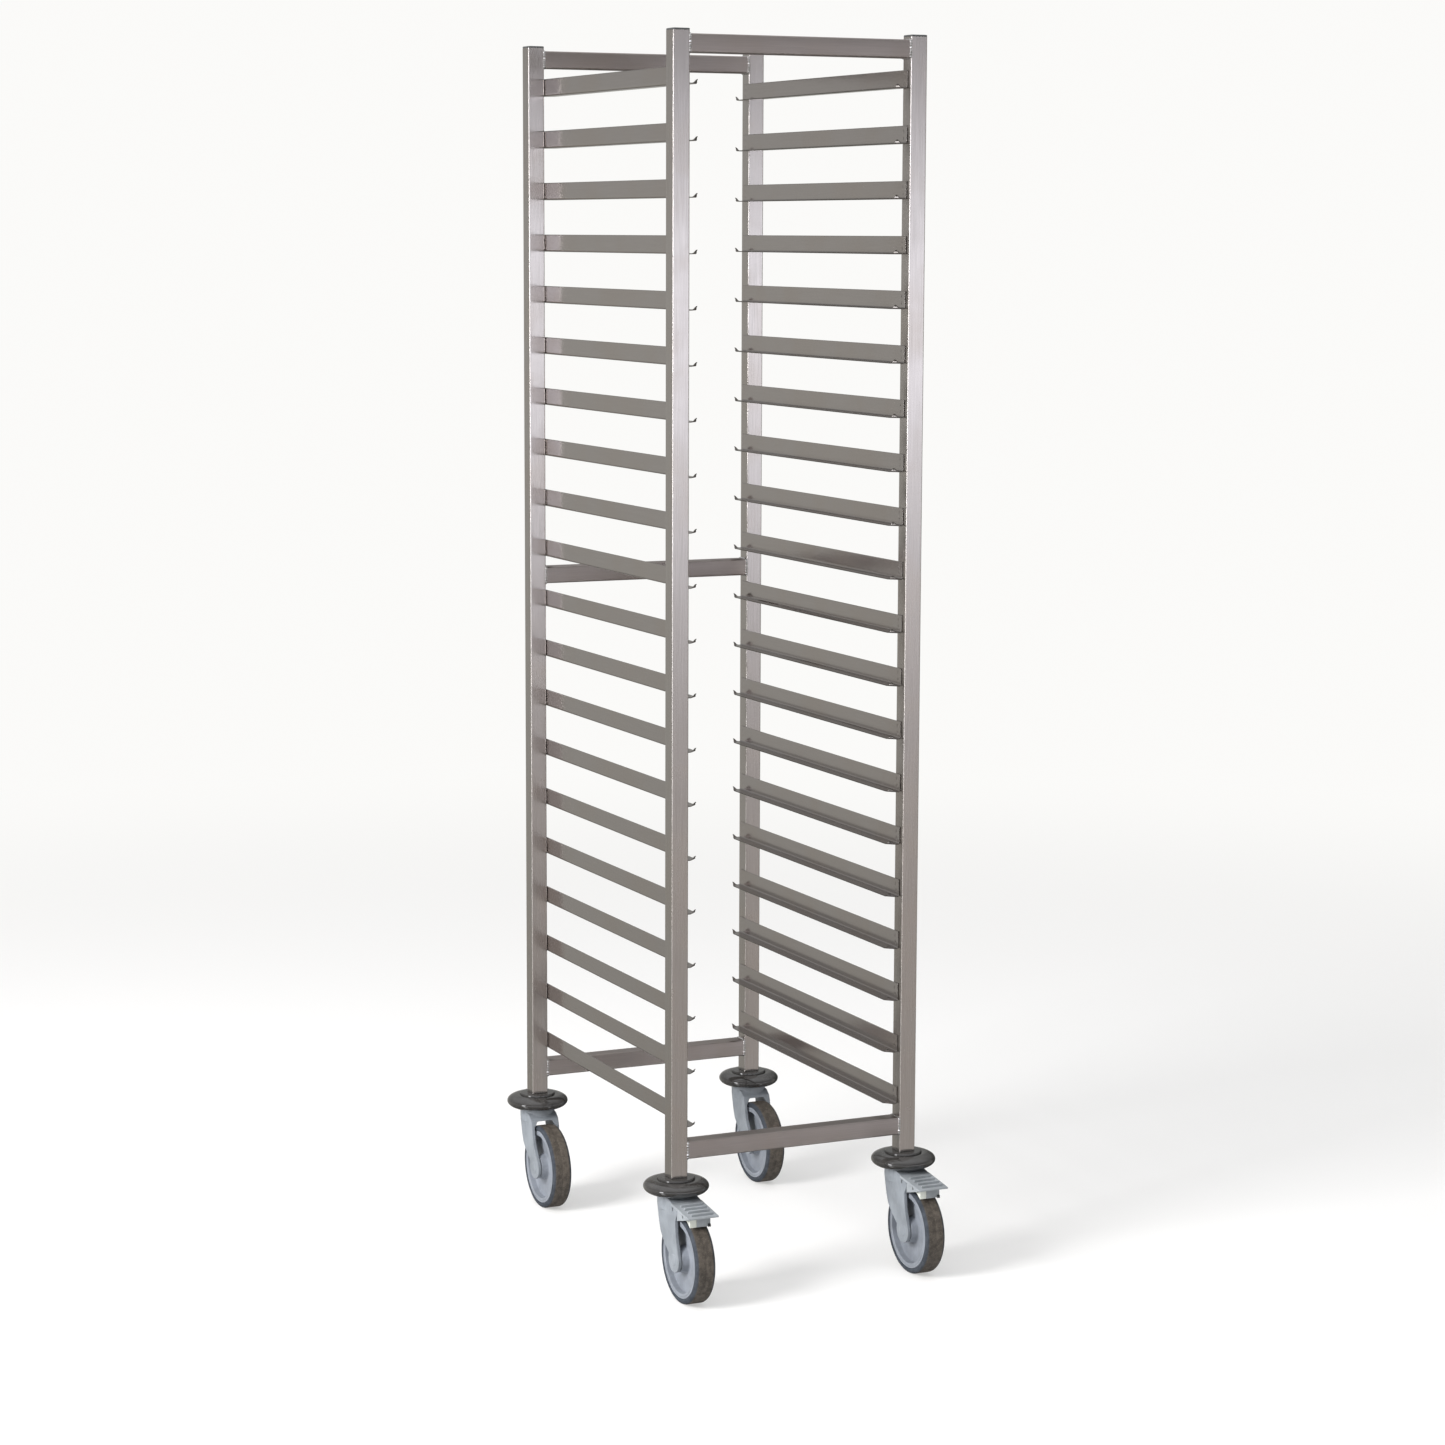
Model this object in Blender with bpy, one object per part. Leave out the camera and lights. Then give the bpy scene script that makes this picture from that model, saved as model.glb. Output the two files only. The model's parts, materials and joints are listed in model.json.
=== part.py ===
"""Sheet pan rack: a GN 1/1 racking trolley with 20 levels on four swivel castors.

X runs across the rack, Y runs back along the slides (the front is at -Y) and Z is up. The
origin is on the floor, under the middle of the whole trolley. Lengths are in metres.
"""

import math

import bmesh
import bpy
from mathutils import Matrix, Vector

# Frame: four uprights of square tube, two cross tubes in front and three behind.
FRAME_WIDTH = 0.380
FRAME_DEPTH = 0.550
TOTAL_HEIGHT = 1.735
TUBE = 0.025
TUBE_WALL = 0.0015
TUBE_CORNER = 0.0025
CAP_THICKNESS = 0.003
CROSS_SET_IN = 0.0005
CROSS_BITE = 0.001
TOP_CROSS_Z = 1.7155
MIDDLE_CROSS_Z = 0.9595
BOTTOM_CROSS_Z = 0.2065

# Slides: an L of thin sheet on the inner side of each pair of uprights.
LEVELS = 20
PITCH = 0.075
TOP_WEB_Z = 1.6875
WEB_HEIGHT = 0.025
LEDGE_WIDTH = 0.0172
SHEET = 0.0012
FOLD_RADIUS = 0.0016
SLIDE_END_SET_BACK = 0.0085
EAR_LEG = 0.012
EAR_ANGLE = math.radians(45)

# Bumper: a moulded disc between each upright and its castor.
BUMPER_RADIUS = 0.046
BUMPER_ROLL = 0.0105
BUMPER_Z = 0.1555
BUMPER_COLLAR_RADIUS = 0.026
BUMPER_TOP = 0.1682
BUMPER_UNDERSIDE = 0.1492
BUMPER_BORE = 0.009

# Castor: wheel, fork and swivel.
WHEEL_RADIUS = 0.0625
WHEEL_WIDTH = 0.030
TYRE_SHOULDER = 0.0055
RIM_RADIUS = 0.0545
RIM_BAND = 0.0080
DISH_DEPTH = 0.0055
HUB_RADIUS = 0.0280
HUB_WIDTH = 0.0320
TRAIL = 0.042
FORK_HALF_WIDTH = 0.0222
FORK_SLOT_HALF_WIDTH = 0.017
CROWN_RADIUS = 0.0258
CROWN_TOP = 0.1473
CROWN_UNDERSIDE = 0.1295
ARCH_HALF_WIDTH = 0.0105
ARCH_SPRING = 0.1210
RACE_RADIUS = 0.0245
STEM_RADIUS = 0.008
STEM_TOP = 0.205
AXLE_RADIUS = 0.006
AXLE_HEAD_RADIUS = 0.0070
AXLE_HEAD_STANDS_OUT = 0.0008
LEG_END_RADIUS = 0.0175

# Brake: a tread plate that presses a shoe onto the tyre.
PIVOT_Y = -0.047
PIVOT_Z = 0.130
PIVOT_PIN_RADIUS = 0.002
LUG_RADIUS = 0.006
PEDAL_HALF_WIDTH = 0.0230
PEDAL_BACK = -0.0350
PEDAL_TIP = -0.0940
PEDAL_BACK_Z = 0.1413
PEDAL_TIP_Z = 0.1340
PEDAL_THICKNESS = 0.0036
PEDAL_TIP_THICKNESS = 0.0022
SKIRT_BACK = -0.0537
SKIRT_FRONT = -0.0862
SKIRT_THICKNESS = 0.0045
SKIRT_BACK_LOW_Z = 0.1210
SKIRT_FRONT_LOW_Z = 0.1300
RIDGES = 4
RIDGE_PITCH = 0.0115
FIRST_RIDGE_Y = -0.0500
RIDGE_HALF_WIDTH = 0.0165
RIDGE_HEIGHT = 0.0013
SHOE_HALF_WIDTH = 0.0158
SHOE_BACK = -0.0700
SHOE_FRONT = -0.0825
SHOE_TYRE_GAP = 0.0052

CLEARANCE = 0.0003
OVERLAP = 0.0005
WHEEL_SEGMENTS = 36
BUMPER_SEGMENTS = 24
CROWN_SEGMENTS = 24
SMOOTH_ANGLE = math.radians(32)

# Places that follow from the sizes above.
AXIS_SPAN_X = FRAME_WIDTH - TUBE
AXIS_SPAN_Y = FRAME_DEPTH - TUBE
FRONT_AXIS_Y = (TRAIL + WHEEL_RADIUS - BUMPER_RADIUS - AXIS_SPAN_Y) / 2
REAR_AXIS_Y = FRONT_AXIS_Y + AXIS_SPAN_Y
UPRIGHT_BOTTOM = BUMPER_TOP + CLEARANCE
CORNERS = {
    "front_left": (-AXIS_SPAN_X / 2, FRONT_AXIS_Y),
    "front_right": (AXIS_SPAN_X / 2, FRONT_AXIS_Y),
    "rear_left": (-AXIS_SPAN_X / 2, REAR_AXIS_Y),
    "rear_right": (AXIS_SPAN_X / 2, REAR_AXIS_Y),
}


def clear_scene():
    for obj in list(bpy.data.objects):
        bpy.data.objects.remove(obj, do_unlink=True)


def make_material(name, colour, roughness, metallic):
    material = bpy.data.materials.new(name)
    material.use_nodes = True
    shader = material.node_tree.nodes["Principled BSDF"]
    shader.inputs["Base Color"].default_value = (*colour, 1.0)
    shader.inputs["Roughness"].default_value = roughness
    shader.inputs["Metallic"].default_value = metallic
    material.diffuse_color = (*colour, 1.0)
    return material


def mesh_of(bm, name):
    """Turns a bmesh into a mesh with its faces pointing out."""
    bmesh.ops.recalc_face_normals(bm, faces=bm.faces)
    mesh = bpy.data.meshes.new(name)
    bm.to_mesh(mesh)
    bm.free()
    return mesh


def place(name, mesh, material, location=(0, 0, 0), parent=None):
    """Makes the object of one piece, at a place in the world."""
    obj = bpy.data.objects.new(name, mesh)
    bpy.context.scene.collection.objects.link(obj)
    if material is not None and material.name not in mesh.materials:
        mesh.materials.append(material)
    obj.location = location
    if parent is not None:
        obj.parent = parent
        obj.location = Vector(location) - parent.location
    return obj


def as_cutter(obj):
    obj.hide_render = True
    obj.display_type = "WIRE"
    return obj


def add_boolean(obj, operation, other):
    modifier = obj.modifiers.new(f"{operation.lower()} {other.name}", "BOOLEAN")
    modifier.operation = operation
    modifier.solver = "EXACT"
    modifier.object = other
    return modifier


def baked(obj):
    """Gives the object its evaluated mesh, and removes its modifiers."""
    graph = bpy.context.evaluated_depsgraph_get()
    mesh = bpy.data.meshes.new_from_object(obj.evaluated_get(graph))
    mesh.name = obj.name
    obj.modifiers.clear()
    obj.data = mesh
    return obj


def joined(name, base, material, unions=(), cuts=()):
    """One mesh from a base mesh, with other meshes added to it and then cut from it."""
    obj = place(name, base, material)
    tools = []
    for operation, meshes in (("UNION", unions), ("DIFFERENCE", cuts)):
        for index, mesh in enumerate(meshes):
            tool = as_cutter(place(f"{name} {operation.lower()} {index}", mesh, None))
            add_boolean(obj, operation, tool)
            tools.append(tool)
    mesh = baked(obj).data
    for unused in (*tools, obj):
        bpy.data.objects.remove(unused, do_unlink=True)
    return mesh


def box_mesh(low, high, corner=0.0, axis=2):
    """A box, with the four edges along one axis rounded where corner is over zero."""
    bm = bmesh.new()
    bmesh.ops.create_cube(bm, size=1.0)
    size = [high[i] - low[i] for i in range(3)]
    middle = [(high[i] + low[i]) / 2 for i in range(3)]
    bmesh.ops.scale(bm, vec=size, verts=bm.verts)
    bmesh.ops.translate(bm, vec=middle, verts=bm.verts)
    if corner > 0:
        along = [
            edge
            for edge in bm.edges
            if abs(edge.verts[0].co[axis] - edge.verts[1].co[axis]) > 1e-6
        ]
        bmesh.ops.bevel(
            bm, geom=along, offset=corner, segments=3, profile=0.5, affect="EDGES"
        )
    return mesh_of(bm, "box")


def turned_mesh(profile, segments, axis="Z"):
    """A closed ring, turned from (radius, height) points round the given axis.

    Round X the ring stands on a flat of its polygon, and its flats lie on the radii given.
    """
    on_flat = axis == "X"
    bm = bmesh.new()
    rings = []
    for step in range(segments):
        angle = 2 * math.pi * (step + 0.5 * on_flat) / segments
        ring = []
        for radius, height in profile:
            if on_flat:
                radius /= math.cos(math.pi / segments)
            point = Vector((radius * math.cos(angle), radius * math.sin(angle), height))
            ring.append(bm.verts.new(point))
        rings.append(ring)
    count = len(profile)
    for step in range(segments):
        here = rings[step]
        following = rings[(step + 1) % segments]
        for i in range(count):
            j = (i + 1) % count
            bm.faces.new((here[i], following[i], following[j], here[j]))
    if axis == "X":
        turn = Matrix.Rotation(math.radians(90), 4, "Y")
        bmesh.ops.transform(bm, matrix=turn, verts=bm.verts)
    return mesh_of(bm, "turned")


def rod_mesh(radius, start, end, segments=12):
    """A solid round bar between two points."""
    start, end = Vector(start), Vector(end)
    along = end - start
    bm = bmesh.new()
    bmesh.ops.create_cone(
        bm,
        cap_ends=True,
        segments=segments,
        radius1=radius,
        radius2=radius,
        depth=along.length,
    )
    turn = along.to_track_quat("Z", "Y").to_matrix().to_4x4()
    turn.translation = (start + end) / 2
    bmesh.ops.transform(bm, matrix=turn, verts=bm.verts)
    return mesh_of(bm, "rod")


def slab_mesh(outline, low, high, axis="X"):
    """A plate with a drawn outline: (y, z) points along X, or (x, z) points along Y."""
    bm = bmesh.new()
    if axis == "X":
        verts = [bm.verts.new((low, y, z)) for y, z in outline]
        push = Vector((high - low, 0, 0))
    else:
        verts = [bm.verts.new((x, low, z)) for x, z in outline]
        push = Vector((0, high - low, 0))
    face = bm.faces.new(verts)
    grown = bmesh.ops.extrude_face_region(bm, geom=[face])["geom"]
    moved = [item for item in grown if isinstance(item, bmesh.types.BMVert)]
    bmesh.ops.translate(bm, vec=push, verts=moved)
    return mesh_of(bm, "slab")


def arc(centre, radius, start, end, steps):
    """Points on a circle, from one angle to another in degrees."""
    points = []
    for step in range(steps + 1):
        angle = math.radians(start + (end - start) * step / steps)
        y = centre[0] + radius * math.cos(angle)
        z = centre[1] + radius * math.sin(angle)
        points.append((y, z))
    return points


def smooth(mesh):
    mesh.shade_smooth()
    mesh.set_sharp_from_angle(angle=SMOOTH_ANGLE)
    return mesh


# ---- welded frames ----


def upright_meshes(x, y):
    """Outer tube, closed by its cap at the top, and the bore that is open below."""
    half = TUBE / 2
    inner = half - TUBE_WALL
    outer = box_mesh(
        (x - half, y - half, UPRIGHT_BOTTOM),
        (x + half, y + half, TOTAL_HEIGHT),
        TUBE_CORNER,
        axis=2,
    )
    bore = box_mesh(
        (x - inner, y - inner, UPRIGHT_BOTTOM - 0.01),
        (x + inner, y + inner, TOTAL_HEIGHT - CAP_THICKNESS),
    )
    return outer, bore


def cross_tube_meshes(y, z, set_in):
    """Outer tube and bore of one cross tube. Both run a little way into the uprights."""
    half = TUBE / 2
    inner = half - TUBE_WALL
    reach = AXIS_SPAN_X / 2 - half + CROSS_BITE
    through = AXIS_SPAN_X / 2 - half + TUBE_WALL + CROSS_BITE
    y += set_in
    outer = box_mesh(
        (-reach, y - half, z - half), (reach, y + half, z + half), TUBE_CORNER, axis=0
    )
    bore = box_mesh((-through, y - inner, z - inner), (through, y + inner, z + inner))
    return outer, bore


def build_frame(name, y, cross_heights, set_in, steel):
    """Two uprights and the cross tubes welded between them."""
    outers = []
    bores = []
    for x in (-AXIS_SPAN_X / 2, AXIS_SPAN_X / 2):
        outer, bore = upright_meshes(x, y)
        outers.append(outer)
        bores.append(bore)
    for z in cross_heights:
        outer, bore = cross_tube_meshes(y, z, set_in)
        outers.append(outer)
        bores.append(bore)
    mesh = joined(name, outers[0], steel, unions=outers[1:], cuts=bores)
    place(name, smooth(mesh), steel)


# ---- slides ----


def slide_mesh(side):
    """The L of sheet, from its web on the uprights to the ledge and its turned-up ears.

    side is 1 on the left of the rack and -1 on the right. The origin is at the middle of the
    web's outer face, at the height of the ledge's underside.
    """
    half_length = FRAME_DEPTH / 2 - SLIDE_END_SET_BACK
    fold_middle = SHEET + FOLD_RADIUS
    section = [(0.0, WEB_HEIGHT)]
    for step in range(4):
        angle = math.radians(180 + 90 * step / 3)
        across = fold_middle + fold_middle * math.cos(angle)
        up = fold_middle + fold_middle * math.sin(angle)
        section.append((across, up))
    ear_root = LEDGE_WIDTH - EAR_LEG
    bm = bmesh.new()
    rows = []
    for across, up in section:
        ends = [bm.verts.new((across, y, up)) for y in (-half_length, half_length)]
        rows.append(ends)
    for upper, lower in zip(rows, rows[1:]):
        bm.faces.new((upper[0], upper[1], lower[1], lower[0]))
    # The ledge: the fold lines of the two ears cut off its free corners.
    root = [bm.verts.new((ear_root, y, 0.0)) for y in (-half_length, half_length)]
    shoulder = [
        bm.verts.new((LEDGE_WIDTH, y, 0.0))
        for y in (-half_length + EAR_LEG, half_length - EAR_LEG)
    ]
    bm.faces.new((rows[-1][0], rows[-1][1], root[1], root[0]))
    bm.faces.new((root[0], root[1], shoulder[1], shoulder[0]))
    # Each ear turns up about its fold line.
    reach = EAR_LEG / math.sqrt(2)
    drawn_in = (reach - reach * math.cos(EAR_ANGLE)) / math.sqrt(2)
    for end, outward in ((0, -1), (1, 1)):
        tip = bm.verts.new(
            (
                LEDGE_WIDTH - drawn_in,
                outward * (half_length - drawn_in),
                reach * math.sin(EAR_ANGLE),
            )
        )
        bm.faces.new((root[end], shoulder[end], tip))
    if side < 0:
        mirror = Matrix.Scale(-1, 4, Vector((1, 0, 0)))
        bmesh.ops.transform(bm, matrix=mirror, verts=bm.verts)
    bmesh.ops.recalc_face_normals(bm, faces=bm.faces)
    ledge_up = any(
        face.normal.z > 0.5 for face in bm.faces if abs(face.normal.z) > 0.9
    )
    if not ledge_up:
        bmesh.ops.reverse_faces(bm, faces=bm.faces)
    mesh = bpy.data.meshes.new("slide sheet")
    bm.to_mesh(mesh)
    bm.free()
    sheet = place("slide sheet", mesh, None)
    solidify = sheet.modifiers.new("sheet thickness", "SOLIDIFY")
    solidify.thickness = SHEET
    solidify.offset = 1.0
    solidify.use_even_offset = True
    mesh = baked(sheet).data
    bpy.data.objects.remove(sheet, do_unlink=True)
    return mesh


def build_slides(steel):
    middle_y = (FRONT_AXIS_Y + REAR_AXIS_Y) / 2
    wall = FRAME_WIDTH / 2 - TUBE - CLEARANCE
    for side, word in ((1, "left"), (-1, "right")):
        mesh = smooth(slide_mesh(side))
        for level in range(LEVELS):
            ledge_z = TOP_WEB_Z - WEB_HEIGHT - level * PITCH
            location = (-side * wall, middle_y, ledge_z)
            place(f"slide_{word}_{level + 1:02d}", mesh, steel, location)


# ---- castors ----


def bumper_mesh():
    ring = BUMPER_RADIUS - BUMPER_ROLL
    profile = [(BUMPER_BORE, BUMPER_UNDERSIDE), (BUMPER_BORE, BUMPER_TOP)]
    profile.append((BUMPER_COLLAR_RADIUS - 0.0015, BUMPER_TOP))
    profile.append((BUMPER_COLLAR_RADIUS, BUMPER_TOP - 0.0015))
    profile.append((BUMPER_COLLAR_RADIUS + 0.0008, BUMPER_TOP - 0.0040))
    profile += arc((ring, BUMPER_Z), BUMPER_ROLL, 108, -144, 7)
    profile.append((BUMPER_COLLAR_RADIUS, BUMPER_UNDERSIDE))
    return turned_mesh(profile, BUMPER_SEGMENTS)


def tyre_mesh():
    half = WHEEL_WIDTH / 2
    inner = RIM_RADIUS + CLEARANCE
    shoulder = WHEEL_RADIUS - TYRE_SHOULDER
    flat = half - TYRE_SHOULDER
    profile = [(inner, -half + 0.001), (inner, half - 0.001)]
    profile += [(r, z) for z, r in arc((flat, shoulder), TYRE_SHOULDER, 0, 90, 3)]
    profile += [(r, z) for z, r in arc((-flat, shoulder), TYRE_SHOULDER, 90, 180, 3)]
    return turned_mesh(profile, WHEEL_SEGMENTS, axis="X")


def hub_mesh():
    half = WHEEL_WIDTH / 2 - 0.001
    boss = HUB_WIDTH / 2
    bore = AXLE_RADIUS + 0.0004
    inner_rim = RIM_RADIUS - RIM_BAND
    side = [
        (RIM_RADIUS, half),
        (inner_rim, half),
        (inner_rim - 0.002, half - DISH_DEPTH),
        (HUB_RADIUS + 0.003, half - DISH_DEPTH),
        (HUB_RADIUS, boss - 0.0035),
        (0.0155, boss - 0.0025),
        (0.0140, boss),
        (bore, boss),
    ]
    profile = side + [(radius, -height) for radius, height in reversed(side)]
    return turned_mesh(profile, WHEEL_SEGMENTS, axis="X")


def leg_rear_edge():
    """The back of a fork leg, from the axle up to the crown."""
    return [
        (-0.0250, 0.0690),
        (-0.0140, 0.0765),
        (-0.0050, 0.0835),
        (0.0035, 0.0930),
        (0.0085, 0.1050),
        (0.0125, 0.1200),
        (0.0155, 0.1320),
        (0.0155, CROWN_TOP - 0.003),
    ]


def fork_outline(braked):
    """(y, z) outline of the fork from the side, as seen from +X."""
    end = arc((-TRAIL, WHEEL_RADIUS), LEG_END_RADIUS, 150, 370, 9)
    if braked:
        front = [
            (-0.0200, CROWN_TOP - 0.003),
            (PEDAL_BACK + 0.0006, PEDAL_BACK_Z + 0.0004),
            (PEDAL_BACK + 0.0006, PIVOT_Z + LUG_RADIUS),
        ]
        front += arc((PIVOT_Y, PIVOT_Z), LUG_RADIUS, 90, 225, 5)
        front += [(-0.0465, 0.1180), (-0.0480, 0.0980), (-0.0535, 0.0820)]
    else:
        front = [
            (-0.0200, CROWN_TOP - 0.008),
            (-0.0290, 0.1325),
            (-0.0325, 0.1240),
            (-0.0345, 0.1120),
            (-0.0385, 0.0970),
            (-0.0470, 0.0840),
        ]
    return front + end + leg_rear_edge()


def fork_mesh(name, braked, material):
    """Crown, two legs, swivel race, stem and axle of one castor, about its swivel axis."""
    legs = slab_mesh(fork_outline(braked), -FORK_HALF_WIDTH, FORK_HALF_WIDTH)
    crown_low = CROWN_UNDERSIDE - 0.004
    crown = turned_crown(crown_low)
    slot = [
        (-FORK_SLOT_HALF_WIDTH, 0.020),
        (-FORK_SLOT_HALF_WIDTH, ARCH_SPRING),
        (-ARCH_HALF_WIDTH - 0.002, CROWN_UNDERSIDE - 0.0015),
        (-ARCH_HALF_WIDTH + 0.002, CROWN_UNDERSIDE),
        (ARCH_HALF_WIDTH - 0.002, CROWN_UNDERSIDE),
        (ARCH_HALF_WIDTH + 0.002, CROWN_UNDERSIDE - 0.0015),
        (FORK_SLOT_HALF_WIDTH, ARCH_SPRING),
        (FORK_SLOT_HALF_WIDTH, 0.020),
    ]
    cuts = [slab_mesh(slot, -0.110, 0.060, axis="Y")]
    if braked:
        # Between the cheeks the brake works in a well that is open above.
        well = FORK_SLOT_HALF_WIDTH
        cuts.append(
            box_mesh((-well, -0.110, 0.100), (well, PEDAL_BACK + 0.0006, 0.150))
        )
    body = joined(name + " body", legs, material, unions=[crown], cuts=cuts)
    reach = FORK_HALF_WIDTH + AXLE_HEAD_STANDS_OUT
    axle = rod_mesh(
        AXLE_RADIUS, (-0.020, -TRAIL, WHEEL_RADIUS), (0.020, -TRAIL, WHEEL_RADIUS)
    )
    additions = [axle]
    for side in (-1, 1):
        inner = (side * (FORK_HALF_WIDTH - 0.002), -TRAIL, WHEEL_RADIUS)
        outer = (side * reach, -TRAIL, WHEEL_RADIUS)
        additions.append(rod_mesh(AXLE_HEAD_RADIUS, inner, outer))
    race_top = BUMPER_UNDERSIDE - CLEARANCE
    additions.append(
        rod_mesh(RACE_RADIUS, (0, 0, CROWN_TOP - 0.002), (0, 0, race_top), segments=CROWN_SEGMENTS)
    )
    additions.append(rod_mesh(STEM_RADIUS, (0, 0, 0.140), (0, 0, STEM_TOP)))
    if braked:
        pin_reach = FORK_SLOT_HALF_WIDTH + 0.002
        additions.append(
            rod_mesh(
                PIVOT_PIN_RADIUS,
                (-pin_reach, PIVOT_Y, PIVOT_Z),
                (pin_reach, PIVOT_Y, PIVOT_Z),
                segments=12,
            )
        )
    return smooth(joined(name, body, material, unions=additions))


def turned_crown(low):
    """The round top of the fork, with softened edges."""
    bm = bmesh.new()
    bmesh.ops.create_cone(
        bm,
        cap_ends=True,
        segments=CROWN_SEGMENTS,
        radius1=CROWN_RADIUS,
        radius2=CROWN_RADIUS,
        depth=CROWN_TOP - low,
    )
    bmesh.ops.translate(bm, vec=(0, 0, (CROWN_TOP + low) / 2), verts=bm.verts)
    rims = [
        edge
        for edge in bm.edges
        if abs(edge.verts[0].co.z - edge.verts[1].co.z) < 1e-6
        and edge.verts[0].co.z > CROWN_TOP - 1e-6
    ]
    bmesh.ops.bevel(bm, geom=rims, offset=0.0015, segments=2, profile=0.5, affect="EDGES")
    return mesh_of(bm, "crown")


def pedal_mesh(name, material):
    """Tread plate, side skirts and shoe carrier, about the pivot's height and depth."""

    def deck_z(y):
        share = (y - PEDAL_BACK) / (PEDAL_TIP - PEDAL_BACK)
        return PEDAL_BACK_Z + share * (PEDAL_TIP_Z - PEDAL_BACK_Z)

    deck = slab_mesh(
        [
            (PEDAL_BACK, PEDAL_BACK_Z),
            (PEDAL_TIP, PEDAL_TIP_Z),
            (PEDAL_TIP, PEDAL_TIP_Z - PEDAL_TIP_THICKNESS),
            (SKIRT_BACK, deck_z(SKIRT_BACK) - PEDAL_THICKNESS),
            (PEDAL_BACK, PEDAL_BACK_Z - PEDAL_THICKNESS),
        ],
        -PEDAL_HALF_WIDTH,
        PEDAL_HALF_WIDTH,
    )
    additions = []
    skirt = [
        (SKIRT_BACK, deck_z(SKIRT_BACK) - OVERLAP),
        (SKIRT_FRONT, deck_z(SKIRT_FRONT) - OVERLAP),
        (SKIRT_FRONT, SKIRT_FRONT_LOW_Z),
        (SKIRT_BACK, SKIRT_BACK_LOW_Z),
    ]
    for side in (-1, 1):
        outer = side * FORK_HALF_WIDTH
        inner = side * (FORK_HALF_WIDTH - SKIRT_THICKNESS)
        additions.append(slab_mesh(skirt, min(outer, inner), max(outer, inner)))
    # The shoe's underside follows the tyre at a small gap.
    gap_radius = WHEEL_RADIUS + SHOE_TYRE_GAP

    def above_tyre(y):
        return WHEEL_RADIUS + math.sqrt(gap_radius**2 - (y + TRAIL) ** 2)

    shoe = [(SHOE_BACK, deck_z(SHOE_BACK) - OVERLAP), (SHOE_FRONT, deck_z(SHOE_FRONT) - OVERLAP)]
    for step in range(4):
        y = SHOE_FRONT + (SHOE_BACK - SHOE_FRONT) * step / 3
        shoe.append((y, above_tyre(y)))
    additions.append(slab_mesh(shoe, -SHOE_HALF_WIDTH, SHOE_HALF_WIDTH))
    # The knuckle hangs from the deck round the pivot pin.
    knuckle_radius = LUG_RADIUS - 0.001
    knuckle = arc((PIVOT_Y, PIVOT_Z), knuckle_radius, 180, 360, 6)
    knuckle += [
        (PIVOT_Y + knuckle_radius, deck_z(PIVOT_Y) - OVERLAP),
        (PIVOT_Y - knuckle_radius, deck_z(PIVOT_Y) - OVERLAP),
    ]
    additions.append(slab_mesh(knuckle, -0.012, 0.012))
    for index in range(RIDGES):
        y = FIRST_RIDGE_Y - index * RIDGE_PITCH
        ridge = [
            (y + 0.0020, deck_z(y) - OVERLAP),
            (y - 0.0020, deck_z(y) - OVERLAP),
            (y - 0.0009, deck_z(y) + RIDGE_HEIGHT),
            (y + 0.0009, deck_z(y) + RIDGE_HEIGHT),
        ]
        additions.append(slab_mesh(ridge, -RIDGE_HALF_WIDTH, RIDGE_HALF_WIDTH))
    pin_hole = rod_mesh(
        PIVOT_PIN_RADIUS + 0.0004,
        (-0.02, PIVOT_Y, PIVOT_Z),
        (0.02, PIVOT_Y, PIVOT_Z),
        segments=12,
    )
    mesh = joined(name, deck, material, unions=additions, cuts=[pin_hole])
    mesh.transform(Matrix.Translation((0, -PIVOT_Y, -PIVOT_Z)))
    return smooth(mesh)


def build_castors(materials):
    bumper = smooth(bumper_mesh())
    tyre = smooth(tyre_mesh())
    hub = smooth(hub_mesh())
    forks = {
        "front": fork_mesh("braked fork", True, materials["housing"]),
        "rear": fork_mesh("plain fork", False, materials["housing"]),
    }
    pedal = pedal_mesh("pedal", materials["pedal"])
    for corner, (x, y) in CORNERS.items():
        end = corner.split("_")[0]
        swivel = bpy.data.objects.new(f"{corner} swivel axis", None)
        bpy.context.scene.collection.objects.link(swivel)
        swivel.location = (x, y, 0)
        axle = (x, y - TRAIL, WHEEL_RADIUS)
        place(f"bumper_{corner}", bumper, materials["bumper"], (x, y, 0))
        place(f"castor_fork_{corner}", forks[end], materials["housing"], (x, y, 0), swivel)
        place(f"wheel_hub_{corner}", hub, materials["hub"], axle, swivel)
        place(f"tyre_{corner}", tyre, materials["tyre"], axle, swivel)
        if end == "front":
            pivot = (x, y + PIVOT_Y, PIVOT_Z)
            place(f"brake_pedal_{corner}", pedal, materials["pedal"], pivot, swivel)


def main():
    clear_scene()
    steel = make_material("brushed stainless steel", (0.58, 0.56, 0.54), 0.32, 1.0)
    slide_steel = make_material("stainless sheet", (0.56, 0.55, 0.52), 0.28, 1.0)
    castor_materials = {
        "housing": make_material("grey moulded housing", (0.30, 0.34, 0.39), 0.50, 0.0),
        "hub": make_material("grey moulded wheel centre", (0.31, 0.35, 0.41), 0.45, 0.0),
        "tyre": make_material("dark grey rubber", (0.055, 0.050, 0.046), 0.70, 0.0),
        "bumper": make_material("black plastic", (0.022, 0.021, 0.022), 0.22, 0.0),
        "pedal": make_material("grey moulded pedal", (0.27, 0.31, 0.36), 0.50, 0.0),
    }
    front_heights = (TOP_CROSS_Z, BOTTOM_CROSS_Z)
    rear_heights = (TOP_CROSS_Z, MIDDLE_CROSS_Z, BOTTOM_CROSS_Z)
    build_frame("front_frame", FRONT_AXIS_Y, front_heights, CROSS_SET_IN, steel)
    build_frame("rear_frame", REAR_AXIS_Y, rear_heights, CROSS_SET_IN, steel)
    build_slides(slide_steel)
    build_castors(castor_materials)


main()
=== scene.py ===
"""Sheet pan rack: the looks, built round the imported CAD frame. Lengths are in metres.

X runs across the rack, Y runs back along the slides, Z is up, and the front is at -Y.
"""

import json
import math

import bmesh
import bpy
from mathutils import Matrix, Vector


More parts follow.
